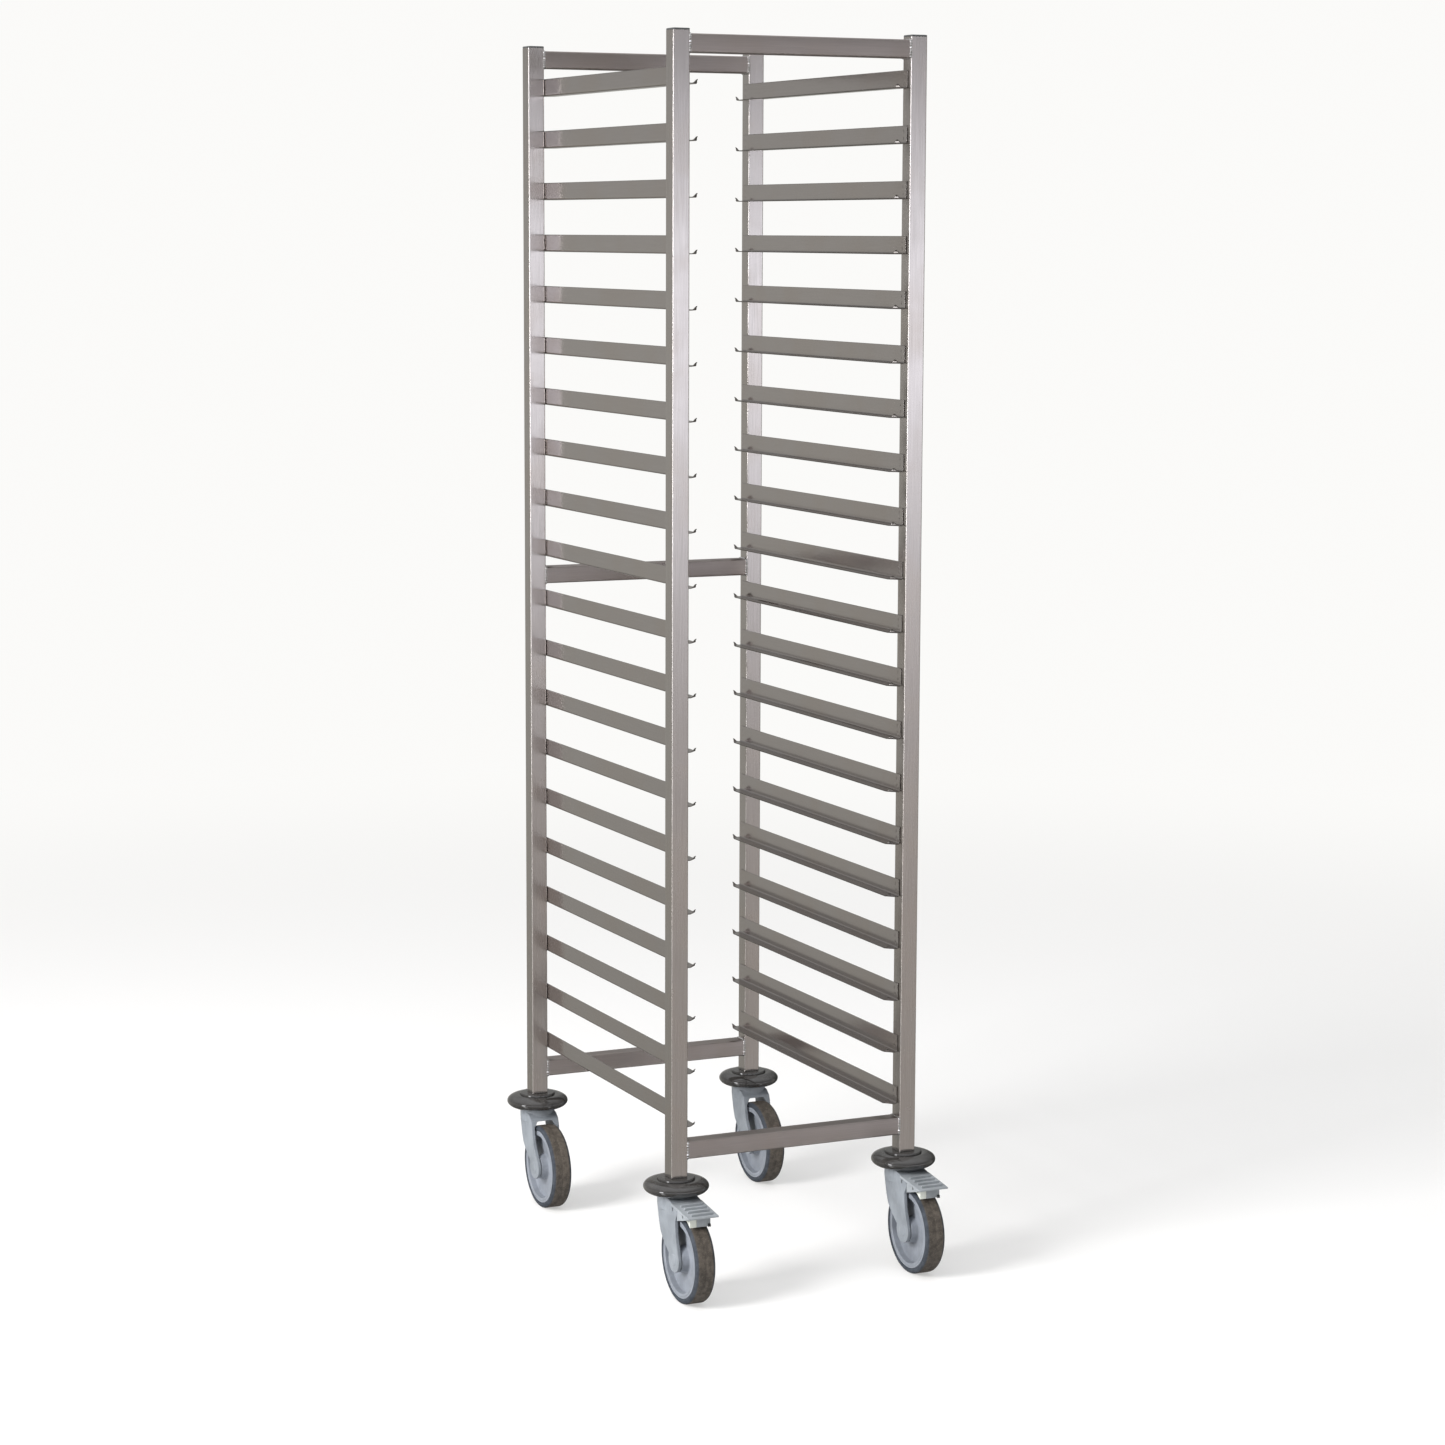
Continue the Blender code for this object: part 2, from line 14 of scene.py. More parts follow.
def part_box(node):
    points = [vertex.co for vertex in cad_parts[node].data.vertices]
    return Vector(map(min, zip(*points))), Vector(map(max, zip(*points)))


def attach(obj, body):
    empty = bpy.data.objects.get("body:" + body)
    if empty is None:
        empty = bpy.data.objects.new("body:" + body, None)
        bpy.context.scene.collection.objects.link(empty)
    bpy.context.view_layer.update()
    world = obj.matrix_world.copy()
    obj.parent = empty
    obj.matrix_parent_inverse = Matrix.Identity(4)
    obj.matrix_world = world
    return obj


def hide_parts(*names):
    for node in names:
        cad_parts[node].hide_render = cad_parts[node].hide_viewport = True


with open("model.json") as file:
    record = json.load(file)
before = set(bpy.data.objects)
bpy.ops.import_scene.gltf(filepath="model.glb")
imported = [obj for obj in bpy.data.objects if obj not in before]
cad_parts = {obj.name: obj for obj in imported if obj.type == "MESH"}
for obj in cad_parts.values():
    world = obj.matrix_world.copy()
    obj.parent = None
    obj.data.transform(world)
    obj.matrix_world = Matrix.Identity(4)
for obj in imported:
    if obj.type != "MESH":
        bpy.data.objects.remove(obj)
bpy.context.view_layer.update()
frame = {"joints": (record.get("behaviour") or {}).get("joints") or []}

JOINTS = {joint["name"]: joint for joint in frame["joints"]}
CORNERS = ("front_left", "front_right", "rear_left", "rear_right")
BRAKED = ("front_left", "front_right")

# Tubes and their welds.
TUBE = 0.025
TUBE_WALL = 0.0015
TUBE_CORNER = 0.0025
CAP_THICKNESS = 0.0025
CROSS_SET_IN = 0.0005
CROSS_HEIGHTS = {
    "front": {"top": 1.7155, "bottom": 0.2065},
    "rear": {"top": 1.7155, "middle": 0.9595, "bottom": 0.2065},
}
TUBE_STATION = 0.02
TUBE_CHAMFER = 0.0002
WELD_RADIUS = 0.0019
WELD_PITCH = 0.0042
# How much of the bead's radius its ripples take, and its section's reach out and along the tube.
WELD_RIPPLE = 0.5
WELD_OUT = 0.85
WELD_ALONG = 1.15
# How deep the bead's middle lies in the cross tube, and how far from the upright.
WELD_SINK = 0.0002
WELD_LEAN = 0.0004
WELD_STEP = 0.0007
WELD_SIDES = 10

# Slides.
LEVELS = 20
SHEET = 0.0012
FOLD_RADIUS = 0.0028
EAR_LEG = 0.012
EAR_CURL_RADIUS = 0.0036
EAR_CURL = math.radians(66)
EAR_LIP_START = 0.0056
EAR_LIP_RADIUS = 0.0031
SPOT_RADIUS = 0.0030
SPOT_DEPTH = 0.00030
SPOT_SET_BACK = 0.0080
SPOT_HEIGHTS = (0.0085, 0.0180)
SHEAR_ROUNDING = 0.00025
WEB_STEP = 0.0012
FINE_STEP = 0.0010
FINE_MARGIN = 0.004
# How far the origin of a slide is inside the L, from web and ledge.
SLIDE_ORIGIN = 0.006

# Bumper, by (radius, height) about the castor's axis.
BUMPER_ROLL = 0.0098
BUMPER_LENS = 0.0165
BUMPER_ROLL_Z = 0.1556
BUMPER_ROLL_START = 100
BUMPER_ROLL_END = -115
BUMPER_ROLL_STEPS = 40
BUMPER_COLLAR = 0.026
BUMPER_BORE = 0.0085

# Castor, about its swivel axis.
CROWN_TOP = 0.1473
CROWN_UNDERSIDE = 0.1295
CROWN_RADIUS = 0.0258
CROWN_CORNER = 0.0020
FORK_HALF_WIDTH = 0.0222
FORK_SLOT = 0.0170
ARCH_SPRING = 0.1210
ARCH_HALF_WIDTH = 0.0105
ARCH_CORNER = 0.0025
# Cuts through the fork start and end outside it.
CUT_FRONT = -0.110
CUT_BACK = 0.060
CUT_LOW = 0.020
WELL_HEIGHTS = (0.100, 0.150)
AXLE_PAD_RADIUS = 0.0075
AXLE_PAD_HEIGHT = 0.0006
RACE_RADIUS = 0.0250
STEM_RADIUS = 0.0075
STEM_TOP = 0.204
LEG_END_RADIUS = 0.0175
AXLE_RADIUS = 0.0055
RIM_RADIUS = 0.0545
BOSS_RADIUS = 0.0175
WHEEL_DISH = 0.0095
TYRE_SHOULDER = 0.0055
# A turned bar keeps a thin bore, so that it is a ring too.
TURNED_BORE = 0.0010

# Brake, about the swivel axis too.
DECK_BACK = (-0.0350, 0.1413)
DECK_TIP = (-0.0940, 0.1340)
DECK_HALF_WIDTH = 0.0230
DECK_THICKNESS = 0.0036
DECK_TIP_THICKNESS = 0.0022
SKIRT_BACK = -0.0537
SKIRT_FRONT = -0.0862
SKIRT_THICKNESS = 0.0045
SKIRT_BACK_LOW_Z = 0.1210
SKIRT_FRONT_LOW_Z = 0.1300
RIDGES = 4
RIDGE_PITCH = 0.0115
FIRST_RIDGE_Y = -0.0500
RIDGE_ENDS = (-0.0145, 0.0190)
RIDGE_HEIGHT = 0.0022
GROOVE_DEPTH = 0.0021
SHOE_HALF_WIDTH = 0.0155
SHOE_SPLIT = -0.0050
SHOE_BACK = -0.0700
SHOE_FRONT = -0.0822
SHOE_TYRE_GAP = 0.0054
SPRING_END_HEIGHTS = (0.1168, 0.1215)
PIN_RADIUS = 0.0019
PIN_GAP = 0.0006
PIN_REACH = FORK_SLOT + 0.0015
LUG_RADIUS = 0.006
KNUCKLE_HALF_WIDTH = 0.012
FORK_FRONT = DECK_BACK[0] + 0.0006
# How far a rib or skirt reaches into the deck, so that they join.
BITE = 0.0005
# Small slots in housing and skirts: floor and mouth are measured from the middle.
SLOT_RADIUS = 0.0016
SLOT_HALF_LENGTH = 0.0014
SLOT_FLOOR = FORK_HALF_WIDTH - 0.0034
SLOT_MOUTH = FORK_HALF_WIDTH + 0.001
# How far below the surface the dark pieces in the slots sit; they are painted shade.
SLOT_SHADE_DEPTH = 0.0003
FORK_SLOT_PLACE = (-0.0385, 0.1335)
SKIRT_SLOT_PLACE = (-0.0725, 0.1320)

# Voxels that a moulded shape is softened in.
FORK_VOXEL = 0.0006
PEDAL_VOXEL = 0.0004
DARK_PIECE_VOXEL = 0.0003

# Camera: where the photograph was taken from, in the rack's own frame.
CAMERA_PLACE = (-2.069, -4.528, 1.467)
CAMERA_AZIMUTH = 24.53
CAMERA_PITCH = 8.03
CAMERA_ROLL = 0.20
CAMERA_LENS = 86.6
SENSOR = 36.0
FAR_CLIP = 200

# Studio.
BACKDROP = (0.965, 0.960, 0.945)
FLOOR_RADII = (0.02, 0.5, 1.5, 4.0, 12.0, 40.0)
FLOOR_SPOKES = 64
FLOOR_DROP = 0.0002
FLOOR_FADE = (1.2, 4.5)
FLOOR_GLOW = 0.45
# Lamps for the plastics and the floor: place, target, size, power and colour.
LAMPS = {
    "key": ((-3.4, -0.9, 2.0), (0, 0, 0.5), (1.4, 1.8), 230, (1.0, 0.99, 0.98)),
    "overhead": ((-0.4, -0.6, 4.2), (0, 0, 0), (4.0, 4.0), 70, (1, 1, 1)),
    "fill": ((3.2, -2.6, 2.4), (0, 0, 0.7), (1.6, 1.6), 6, (1, 1, 1)),
}
# What shines on the steel, from straight down (0) through the horizon (0.5) to straight up (1).
DIM_STUDIO = (
    (0.000, 0.10), (0.250, (0.20, 0.195, 0.18)), (0.360, (0.34, 0.335, 0.31)),
    (0.430, (0.40, 0.395, 0.37)), (0.495, (0.44, 0.435, 0.41)), (0.520, (0.40, 0.395, 0.38)),
    (0.600, (0.28, 0.28, 0.27)), (0.720, 0.30), (0.850, (0.55, 0.55, 0.56)),
    (1.000, (0.80, 0.80, 0.82)),
)
BRIGHT_BAND = (
    (0.000, 0.10), (0.250, (0.18, 0.175, 0.17)), (0.360, (0.45, 0.43, 0.41)),
    (0.420, (0.45, 0.42, 0.40)), (0.433, (0.52, 0.50, 0.49)), (0.445, (0.64, 0.63, 0.65)),
    (0.457, (0.80, 0.80, 0.85)), (0.468, (1.15, 1.16, 1.26)), (0.480, (1.75, 1.77, 1.92)),
    (0.496, (1.80, 1.82, 1.98)), (0.506, (1.30, 1.32, 1.42)), (0.515, (0.70, 0.70, 0.75)),
    (0.524, (0.20, 0.19, 0.18)), (0.620, 0.14), (0.720, 0.25),
    (0.850, (0.55, 0.55, 0.56)), (1.000, (0.80, 0.80, 0.82)),
)
SIDE_GLOW = (
    (0.000, 0.20), (0.340, 0.60), (0.420, 3.00),
    (0.470, (7.00, 7.00, 7.20)), (0.530, (9.00, 9.00, 9.30)), (0.600, 0.60),
    (1.000, (0.80, 0.80, 0.82)),
)
DARK_CORNER = (
    (0.000, 0.08), (0.300, (0.08, 0.08, 0.075)), (0.600, (0.08, 0.08, 0.075)),
    (0.850, 0.40), (1.000, (0.80, 0.80, 0.82)),
)
# Where each stands: its ramp, the azimuth of its middle, and the half angles of its edge.
SECTORS = (
    (BRIGHT_BAND, 186, (52, 76)),
    (SIDE_GLOW, -105, (4, 9)),
    (DARK_CORNER, 56, (18, 30)),
)
# What dull surfaces get from the studio, beside its lamps.
DULL_LIGHT = (0.50, 0.50, 0.51)
# Small lamps that only glossy surfaces show: azimuth, elevation, half angle and strength.
GLINTS = ((-101, -46, 8, 2.6), (147, -42, 6, 2.2), (178, -50, 3, 1.4))


# ---- meshes ----


def linked(name, data):
    obj = bpy.data.objects.new(name, data)
    bpy.context.scene.collection.objects.link(obj)
    return obj


def object_of(name, mesh, material, location):
    obj = linked(name, mesh)
    if not mesh.materials:
        mesh.materials.append(material)
    obj.location = location
    return obj


def part_of(name, mesh, material, location, body, node, slot=None):
    """A piece that rides on a body and stands for a CAD node."""
    piece = object_of(name, mesh, material, location)
    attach(piece, body)
    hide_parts(node)


def shaded(mesh, angle=35):
    mesh.shade_smooth()
    mesh.set_sharp_from_angle(angle=math.radians(angle))
    return mesh


def mesh_of(bm):
    bmesh.ops.recalc_face_normals(bm, faces=bm.faces)
    mesh = bpy.data.meshes.new("piece")
    bm.to_mesh(mesh)
    bm.free()
    return mesh


def arc(centre, radius, start, end, steps):
    """Points on a circle, from one angle to another in degrees."""
    points = []
    for step in range(steps + 1):
        angle = math.radians(start + (end - start) * step / steps)
        across = centre[0] + radius * math.cos(angle)
        up = centre[1] + radius * math.sin(angle)
        points.append((across, up))
    return points


def circle(count):
    """Angles evenly round a circle."""
    return [2 * math.pi * step / count for step in range(count)]


def rounded_square(half, radius, steps=6):
    """Outline of a square with rounded corners, anticlockwise."""
    points = []
    inset = half - radius
    for quarter, (sx, sy) in enumerate(((1, 1), (-1, 1), (-1, -1), (1, -1))):
        points += arc((sx * inset, sy * inset), radius, 90 * quarter, 90 * quarter + 90, steps)
    return points


def lofted(rings, closed_along=False, caps=False):
    """A mesh through rings of points, each ring closed on itself."""
    bm = bmesh.new()
    rows = [[bm.verts.new(point) for point in ring] for ring in rings]
    count = len(rows[0])
    pairs = list(zip(rows, rows[1:]))
    if closed_along:
        pairs.append((rows[-1], rows[0]))
    for here, following in pairs:
        for i in range(count):
            j = (i + 1) % count
            bm.faces.new((here[i], here[j], following[j], following[i]))
    if caps:
        bm.faces.new(rows[0])
        bm.faces.new(rows[-1])
    return mesh_of(bm)


def turned(profile, segments=96, axis="Z"):
    """A closed ring, turned from (radius, height) points round an axis."""
    rings = []
    for angle in circle(segments):
        ring = []
        for radius, height in profile:
            across = radius * math.cos(angle)
            away = radius * math.sin(angle)
            ring.append((across, away, height) if axis == "Z" else (height, across, away))
        rings.append(ring)
    return lofted(rings, closed_along=True)


def square_tube(axis, low, high):
    """A square tube with rounded corners and a wall, along one axis, open at both ends."""
    half = TUBE / 2
    outer = rounded_square(half, TUBE_CORNER)
    inner = rounded_square(half - TUBE_WALL, TUBE_CORNER - TUBE_WALL)
    edge = TUBE_CHAMFER
    stations = max(2, round((high - low) / TUBE_STATION))

    def ring(outline, along, shrink=0.0):
        scale = 1 - shrink / half
        if axis == "Z":
            return [(a * scale, b * scale, along) for a, b in outline]
        return [(along, a * scale, b * scale) for a, b in outline]

    rings = [ring(inner, low), ring(outer, low, edge)]
    for index in range(stations + 1):
        along = low + edge + (high - low - 2 * edge) * index / stations
        rings.append(ring(outer, along))
    rings += [ring(outer, high, edge), ring(inner, high)]
    return shaded(lofted(rings, closed_along=True))


def slab(outline, low, high, axis="X"):
    """A plate with a drawn outline: (y, z) points along X, or (x, z) points along Y."""
    if axis == "X":
        rings = [[(x, y, z) for y, z in outline] for x in (low, high)]
    else:
        rings = [[(x, y, z) for x, z in outline] for y in (low, high)]
    return lofted(rings, caps=True)


def both_sides(outline, near, far):
    """Two plates with one (y, z) outline, on each side from near to far from the middle."""
    return [slab(outline, min(s * near, s * far), max(s * near, s * far)) for s in (-1, 1)]


def rod(radius, start, end, segments=32):
    start, end = Vector(start), Vector(end)
    along = end - start
    bm = bmesh.new()
    bmesh.ops.create_cone(
        bm, cap_ends=True, segments=segments, radius1=radius, radius2=radius, depth=along.length
    )
    turn = along.to_track_quat("Z", "Y").to_matrix().to_4x4()
    turn.translation = (start + end) / 2
    bmesh.ops.transform(bm, matrix=turn, verts=bm.verts)
    return mesh_of(bm)


def evaluated(obj):
    """The object's mesh with its modifiers applied. The object goes."""
    graph = bpy.context.evaluated_depsgraph_get()
    mesh = bpy.data.meshes.new_from_object(obj.evaluated_get(graph))
    bpy.data.objects.remove(obj, do_unlink=True)
    return mesh


def combined(base, unions=(), cuts=()):
    """One mesh from a base, with meshes added to it and then cut from it."""
    obj = linked("combined", base)
    tools = []
    for operation, meshes in (("UNION", unions), ("DIFFERENCE", cuts)):
        for mesh in meshes:
            tool = linked("tool", mesh)
            modifier = obj.modifiers.new(operation, "BOOLEAN")
            modifier.operation = operation
            modifier.solver = "EXACT"
            modifier.object = tool
            tools.append(tool)
    mesh = evaluated(obj)
    for tool in tools:
        bpy.data.objects.remove(tool, do_unlink=True)
    return mesh


def moulded(mesh, voxel, rounds):
    """Softens every edge of a solid, as a moulding has them, and keeps half of its triangles."""
    obj = linked("moulded", mesh)
    remesh = obj.modifiers.new("remesh", "REMESH")
    remesh.mode = "VOXEL"
    remesh.voxel_size = voxel
    remesh.use_smooth_shade = True
    soften = obj.modifiers.new("soften", "SMOOTH")
    soften.factor = 0.5
    soften.iterations = rounds
    thin = obj.modifiers.new("thin", "DECIMATE")
    thin.ratio = 0.5
    mesh = evaluated(obj)
    mesh.shade_smooth()
    return mesh


# ---- materials ----


class Graph:
    """Short calls for the nodes of a material or a world."""

    def __init__(self, tree):
        self.nodes = tree.nodes
        self.links = tree.links

    def put(self, value, socket):
        if isinstance(value, bpy.types.NodeSocket):
            self.links.new(value, socket)
        elif value is not None:
            socket.default_value = value

    def node(self, kind, *values):
        """A node with its first inputs set."""
        node = self.nodes.new(kind)
        for value, socket in zip(values, node.inputs):
            self.put(value, socket)
        return node

    def math(self, operation, *values, clamp=False):
        node = self.node("ShaderNodeMath", *values)
        node.operation = operation
        node.use_clamp = clamp
        return node.outputs[0]

    def vector(self, operation, *values):
        node = self.node("ShaderNodeVectorMath", *values)
        node.operation = operation
        return node.outputs["Value" if operation in ("LENGTH", "DOT_PRODUCT") else "Vector"]

    def split(self, vector):
        return self.node("ShaderNodeSeparateXYZ", vector).outputs

    def span(self, value, low, high, to_low=0.0, to_high=1.0):
        """Maps low..high smoothly to to_low..to_high, held at the ends."""
        node = self.node("ShaderNodeMapRange", value, low, high, to_low, to_high)
        node.interpolation_type = "SMOOTHSTEP"
        return node.outputs[0]

    def blend(self, factor, first, second):
        """Mixes two colours, each a socket or (r, g, b)."""
        node = self.node("ShaderNodeMix", factor)
        node.data_type = "RGBA"
        for colour, socket in ((first, node.inputs[6]), (second, node.inputs[7])):
            self.put((*colour, 1.0) if isinstance(colour, tuple) else colour, socket)
        return node.outputs[2]

    def ramp(self, position, stops):
        """Colours by position. A stop has (r, g, b), or one number for a neutral tone."""
        node = self.node("ShaderNodeValToRGB", position)
        elements = node.color_ramp.elements
        elements.remove(elements[-1])
        for index, (place, colour) in enumerate(stops):
            element = elements[0] if index == 0 else elements.new(place)
            element.position = place
            tone = colour if isinstance(colour, tuple) else (colour, colour, colour)
            element.color = (*tone, 1.0)
        return node.outputs[0]

    def mix(self, factor, first, second):
        """Mixes two shaders."""
        return self.node("ShaderNodeMixShader", factor, first, second).outputs[0]


class Surface(Graph):
    """A material. Its textures are placed by the object's own coordinates, shifted at random."""

    def __init__(self, name):
        self.material = bpy.data.materials.new(name)
        self.material.use_nodes = True
        super().__init__(self.material.node_tree)
        self.shader = self.nodes["Principled BSDF"]
        self.place = self.node("ShaderNodeTexCoord").outputs["Object"]
        shift = self.vector("SCALE", (1.7, 2.3, 3.1))
        self.put(self.node("ShaderNodeObjectInfo").outputs["Random"], shift.node.inputs["Scale"])
        self.shifted = self.vector("ADD", self.place, shift)

    def noise(self, scale, detail=2.0, rough=0.5, stretch=None, distortion=0.0):
        """Noise from 0 to 1, with scale in features per metre, stretched where asked."""
        vector = self.shifted
        if stretch is not None:
            vector = self.vector("MULTIPLY", vector, stretch)
        node = self.node("ShaderNodeTexNoise", vector)
        node.inputs["Scale"].default_value = scale
        node.inputs["Detail"].default_value = detail
        node.inputs["Roughness"].default_value = rough
        node.inputs["Distortion"].default_value = distortion
        return node.outputs["Fac"]

    def bump(self, height, distance, strength=1.0, under=None):
        node = self.node("ShaderNodeBump")
        node.inputs["Strength"].default_value = strength
        node.inputs["Distance"].default_value = distance
        self.put(height, node.inputs["Height"])
        self.put(under, node.inputs["Normal"])
        return node.outputs[0]

    def set(self, **values):
        """Sets shader inputs by name, with _ for a space."""
        for name, value in values.items():
            self.put(value, self.shader.inputs[name.replace("_", " ")])


def steel(name, grain, colour, roughness, anisotropy, streak=1.0):
    """Brushed or rolled stainless sheet, with its grain along the given axis."""
    g = Surface(name)
    along = "XYZ".index(grain)
    fine = [1.0, 1.0, 1.0]
    fine[along] = 0.006
    broad = [1.0, 1.0, 1.0]
    broad[along] = 0.02
    hairs = g.noise(2600, 2.0, 0.6, stretch=tuple(fine))
    strokes = g.noise(900, 3.0, 0.6, stretch=tuple(broad))
    clouds = g.noise(9, 3.0, 0.55, distortion=0.4)
    marks = g.noise(60, 4.0, 0.7)
    light = tuple(min(1.0, c * (1 + 0.05 * streak)) for c in colour)
    dark = tuple(c * (1 - 0.06 * streak) for c in colour)
    warm = (colour[0] * 1.00, colour[1] * 0.955, colour[2] * 0.90)
    tone = g.blend(g.span(strokes, 0.3, 0.7), dark, light)
    tone = g.blend(g.math("MULTIPLY", g.span(clouds, 0.42, 0.70), 0.45), tone, warm)
    base = g.math("MULTIPLY_ADD", g.span(hairs, 0.25, 0.75), 0.06 * streak, roughness - 0.03 * streak)
    cloudy = g.math("MULTIPLY_ADD", g.span(clouds, 0.3, 0.7), 0.05, -0.025)
    worn = g.math("MULTIPLY", g.span(marks, 0.62, 0.80), 0.05)
    rough = g.math("ADD", g.math("ADD", base, cloudy), worn, clamp=True)
    ripple = g.bump(g.noise(14, 2.0, 0.5), 0.00005, 0.4)
    scratched = g.bump(hairs, 0.000015 * streak, 0.6, under=ripple)
    tangent = g.node("ShaderNodeTangent")
    tangent.direction_type = "RADIAL"
    tangent.axis = grain
    g.set(
        Base_Color=tone, Metallic=1.0, Roughness=rough, Normal=scratched,
        Anisotropic=anisotropy, Tangent=tangent.outputs[0],
    )
    return g.material


def sheared_steel():
    """The cut edge of a sheet: half of it torn and dull, with a dark tint."""
    g = Surface("sheared edge")
    tears = g.noise(1600, 3.0, 0.7)
    tint = g.noise(120, 3.0, 0.6)
    tone = g.blend(g.span(tint, 0.3, 0.7), (0.17, 0.155, 0.135), (0.25, 0.235, 0.21))
    rough = g.math("MULTIPLY_ADD", tears, 0.3, 0.35)
    g.set(Base_Color=tone, Metallic=1.0, Roughness=rough, Normal=g.bump(tears, 0.00008, 0.5))
    return g.material


def weld_steel():
    """A brushed weld: near-white crests, partly polished metal and partly painted highlight, with straw
    and brown heat tint in the hollows.
    """
    g = Surface("weld steel")
    spots = g.noise(900, 3.0, 0.7)
    tint = g.noise(220, 3.0, 0.6)
    crest = g.node("ShaderNodeNewGeometry").outputs["Pointiness"]
    hollow = g.blend(g.span(tint, 0.35, 0.65), (0.20, 0.17, 0.14), (0.38, 0.31, 0.23))
    # Painted highlight in part: the crests are paler than any bare steel, so that they show as bright
    # dots.
    tone = g.blend(g.span(crest, 0.47, 0.55), hollow, (0.88, 0.87, 0.86))
    rough = g.math("MULTIPLY_ADD", spots, 0.16, 0.12)
    g.set(Base_Color=tone, Metallic=1.0, Roughness=rough, Normal=g.bump(spots, 0.00006, 0.4))
    return g.material


def turned_steel():
    """Zinc-bright turned or pressed steel, for axles, races and stems."""
    g = Surface("turned steel")
    tint = g.noise(120, 3.0, 0.6)
    lines = g.noise(2500, 2.0, 0.5, stretch=(1.0, 0.05, 0.05))
    tone = g.blend(g.span(tint, 0.35, 0.65), (0.50, 0.50, 0.49), (0.66, 0.66, 0.64))
    rough = g.math("MULTIPLY_ADD", tint, 0.18, 0.24)
    g.set(Base_Color=tone, Metallic=1.0, Roughness=rough, Normal=g.bump(lines, 0.00005, 0.4))
    return g.material


def moulding(name, colour, roughness):
    """Moulded nylon: fine spark-eroded grain, cloudy colour, paler worn edges and painted shade in
    creases and grooves.
    """
    g = Surface(name)
    clouds = g.noise(30, 4.0, 0.6)
    flow = g.noise(170, 3.0, 0.6, stretch=(1.0, 1.0, 0.35))
    pits = g.noise(2200, 2.0, 0.6)
    edge = g.node("ShaderNodeNewGeometry").outputs["Pointiness"]
    dark = tuple(c * 0.84 for c in colour)
    light = tuple(min(1.0, c * 1.14) for c in colour)
    pale = tuple(min(1.0, c * 1.35 + 0.03) for c in colour)
    tone = g.blend(g.span(clouds, 0.3, 0.7), dark, light)
    tone = g.blend(g.math("MULTIPLY", g.span(flow, 0.5, 0.75), 0.25), tone, pale)
    tone = g.blend(g.math("MULTIPLY", g.span(edge, 0.52, 0.60), 0.35), tone, pale)
    # Painted shade: darker where the surface turns inwards, in creases and grooves.
    crease_shade = g.math("MULTIPLY", g.span(edge, 0.48, 0.42), 0.45)
    tone = g.blend(crease_shade, tone, tuple(c * 0.55 for c in colour))
    rough = g.math("MULTIPLY_ADD", clouds, 0.16, roughness - 0.08)
    uneven = g.bump(flow, 0.0002, 0.35)
    g.set(Base_Color=tone, Roughness=rough, Normal=g.bump(pits, 0.0001, 0.55, under=uneven))
    return g.material


def bumper_rubber():
    """Glossy black bumper: a little dust and fine moulding lines."""
    g = Surface("bumper black")
    dust = g.noise(38, 5.0, 0.6)
    specks = g.noise(1400, 2.0, 0.6)
    up = g.split(g.node("ShaderNodeNewGeometry").outputs["Normal"])[2]
    lying = g.math("MULTIPLY", g.span(up, 0.3, 1.0), g.span(dust, 0.35, 0.75))
    tone = g.blend(g.span(dust, 0.3, 0.7), (0.022, 0.021, 0.020), (0.032, 0.030, 0.029))
    tone = g.blend(g.math("MULTIPLY", lying, 0.10), tone, (0.15, 0.15, 0.135))
    rough = g.math("MULTIPLY_ADD", dust, 0.08, g.math("MULTIPLY_ADD", lying, 0.30, 0.05))
    g.set(
        Base_Color=tone, Roughness=rough, Specular_IOR_Level=0.9, Coat_Weight=0.8,
        Coat_Roughness=0.04, Normal=g.bump(specks, 0.00001, 0.2),
    )
    return g.material


def tyre_rubber():
    """Grey-black rubber: smooth bluish walls and a scuffed, brownish tread."""
    g = Surface("tyre rubber")
    x = g.split(g.place)[0]
    tread = g.span(g.math("ABSOLUTE", x), 0.0125, 0.0100)
    blotches = g.noise(130, 4.0, 0.65)
    scuffs = g.noise(600, 3.0, 0.7)
    grit = g.noise(2600, 2.0, 0.6)
    wall = g.blend(g.span(blotches, 0.35, 0.7), (0.030, 0.036, 0.046), (0.052, 0.060, 0.074))
    worn = g.blend(g.span(blotches, 0.35, 0.65), (0.050, 0.042, 0.034), (0.092, 0.078, 0.064))
    worn = g.blend(g.math("MULTIPLY", g.span(scuffs, 0.52, 0.70), 0.6), worn, (0.155, 0.132, 0.110))
    tone = g.blend(tread, wall, worn)
    rough = g.math("MULTIPLY_ADD", blotches, 0.25, g.math("MULTIPLY_ADD", tread, 0.15, 0.45))
    dents = g.bump(scuffs, 0.0003, 0.4)
    g.set(Base_Color=tone, Roughness=rough, Normal=g.bump(grit, 0.00012, 0.6, under=dents))
    return g.material


def floor_paper():
    """Pale seamless paper, which far from the rack takes the backdrop's own tone."""
    g = Surface("studio paper")
    clouds = g.noise(0.7, 3.0, 0.5)
    fibre = g.noise(700, 3.0, 0.6)
    tone = g.blend(clouds, (0.905, 0.903, 0.900), (0.935, 0.935, 0.930))
    g.set(Base_Color=tone, Roughness=0.85, Specular_IOR_Level=0.1, Normal=g.bump(fibre, 0.0001, 0.2))
    glow = g.node("ShaderNodeEmission", (*BACKDROP, 1.0))
    far = g.span(g.vector("LENGTH", g.place), *FLOOR_FADE, FLOOR_GLOW, 1.0)
    paper = g.mix(far, g.shader.outputs[0], glow.outputs[0])
    g.put(paper, g.nodes["Material Output"].inputs[0])
    return g.material


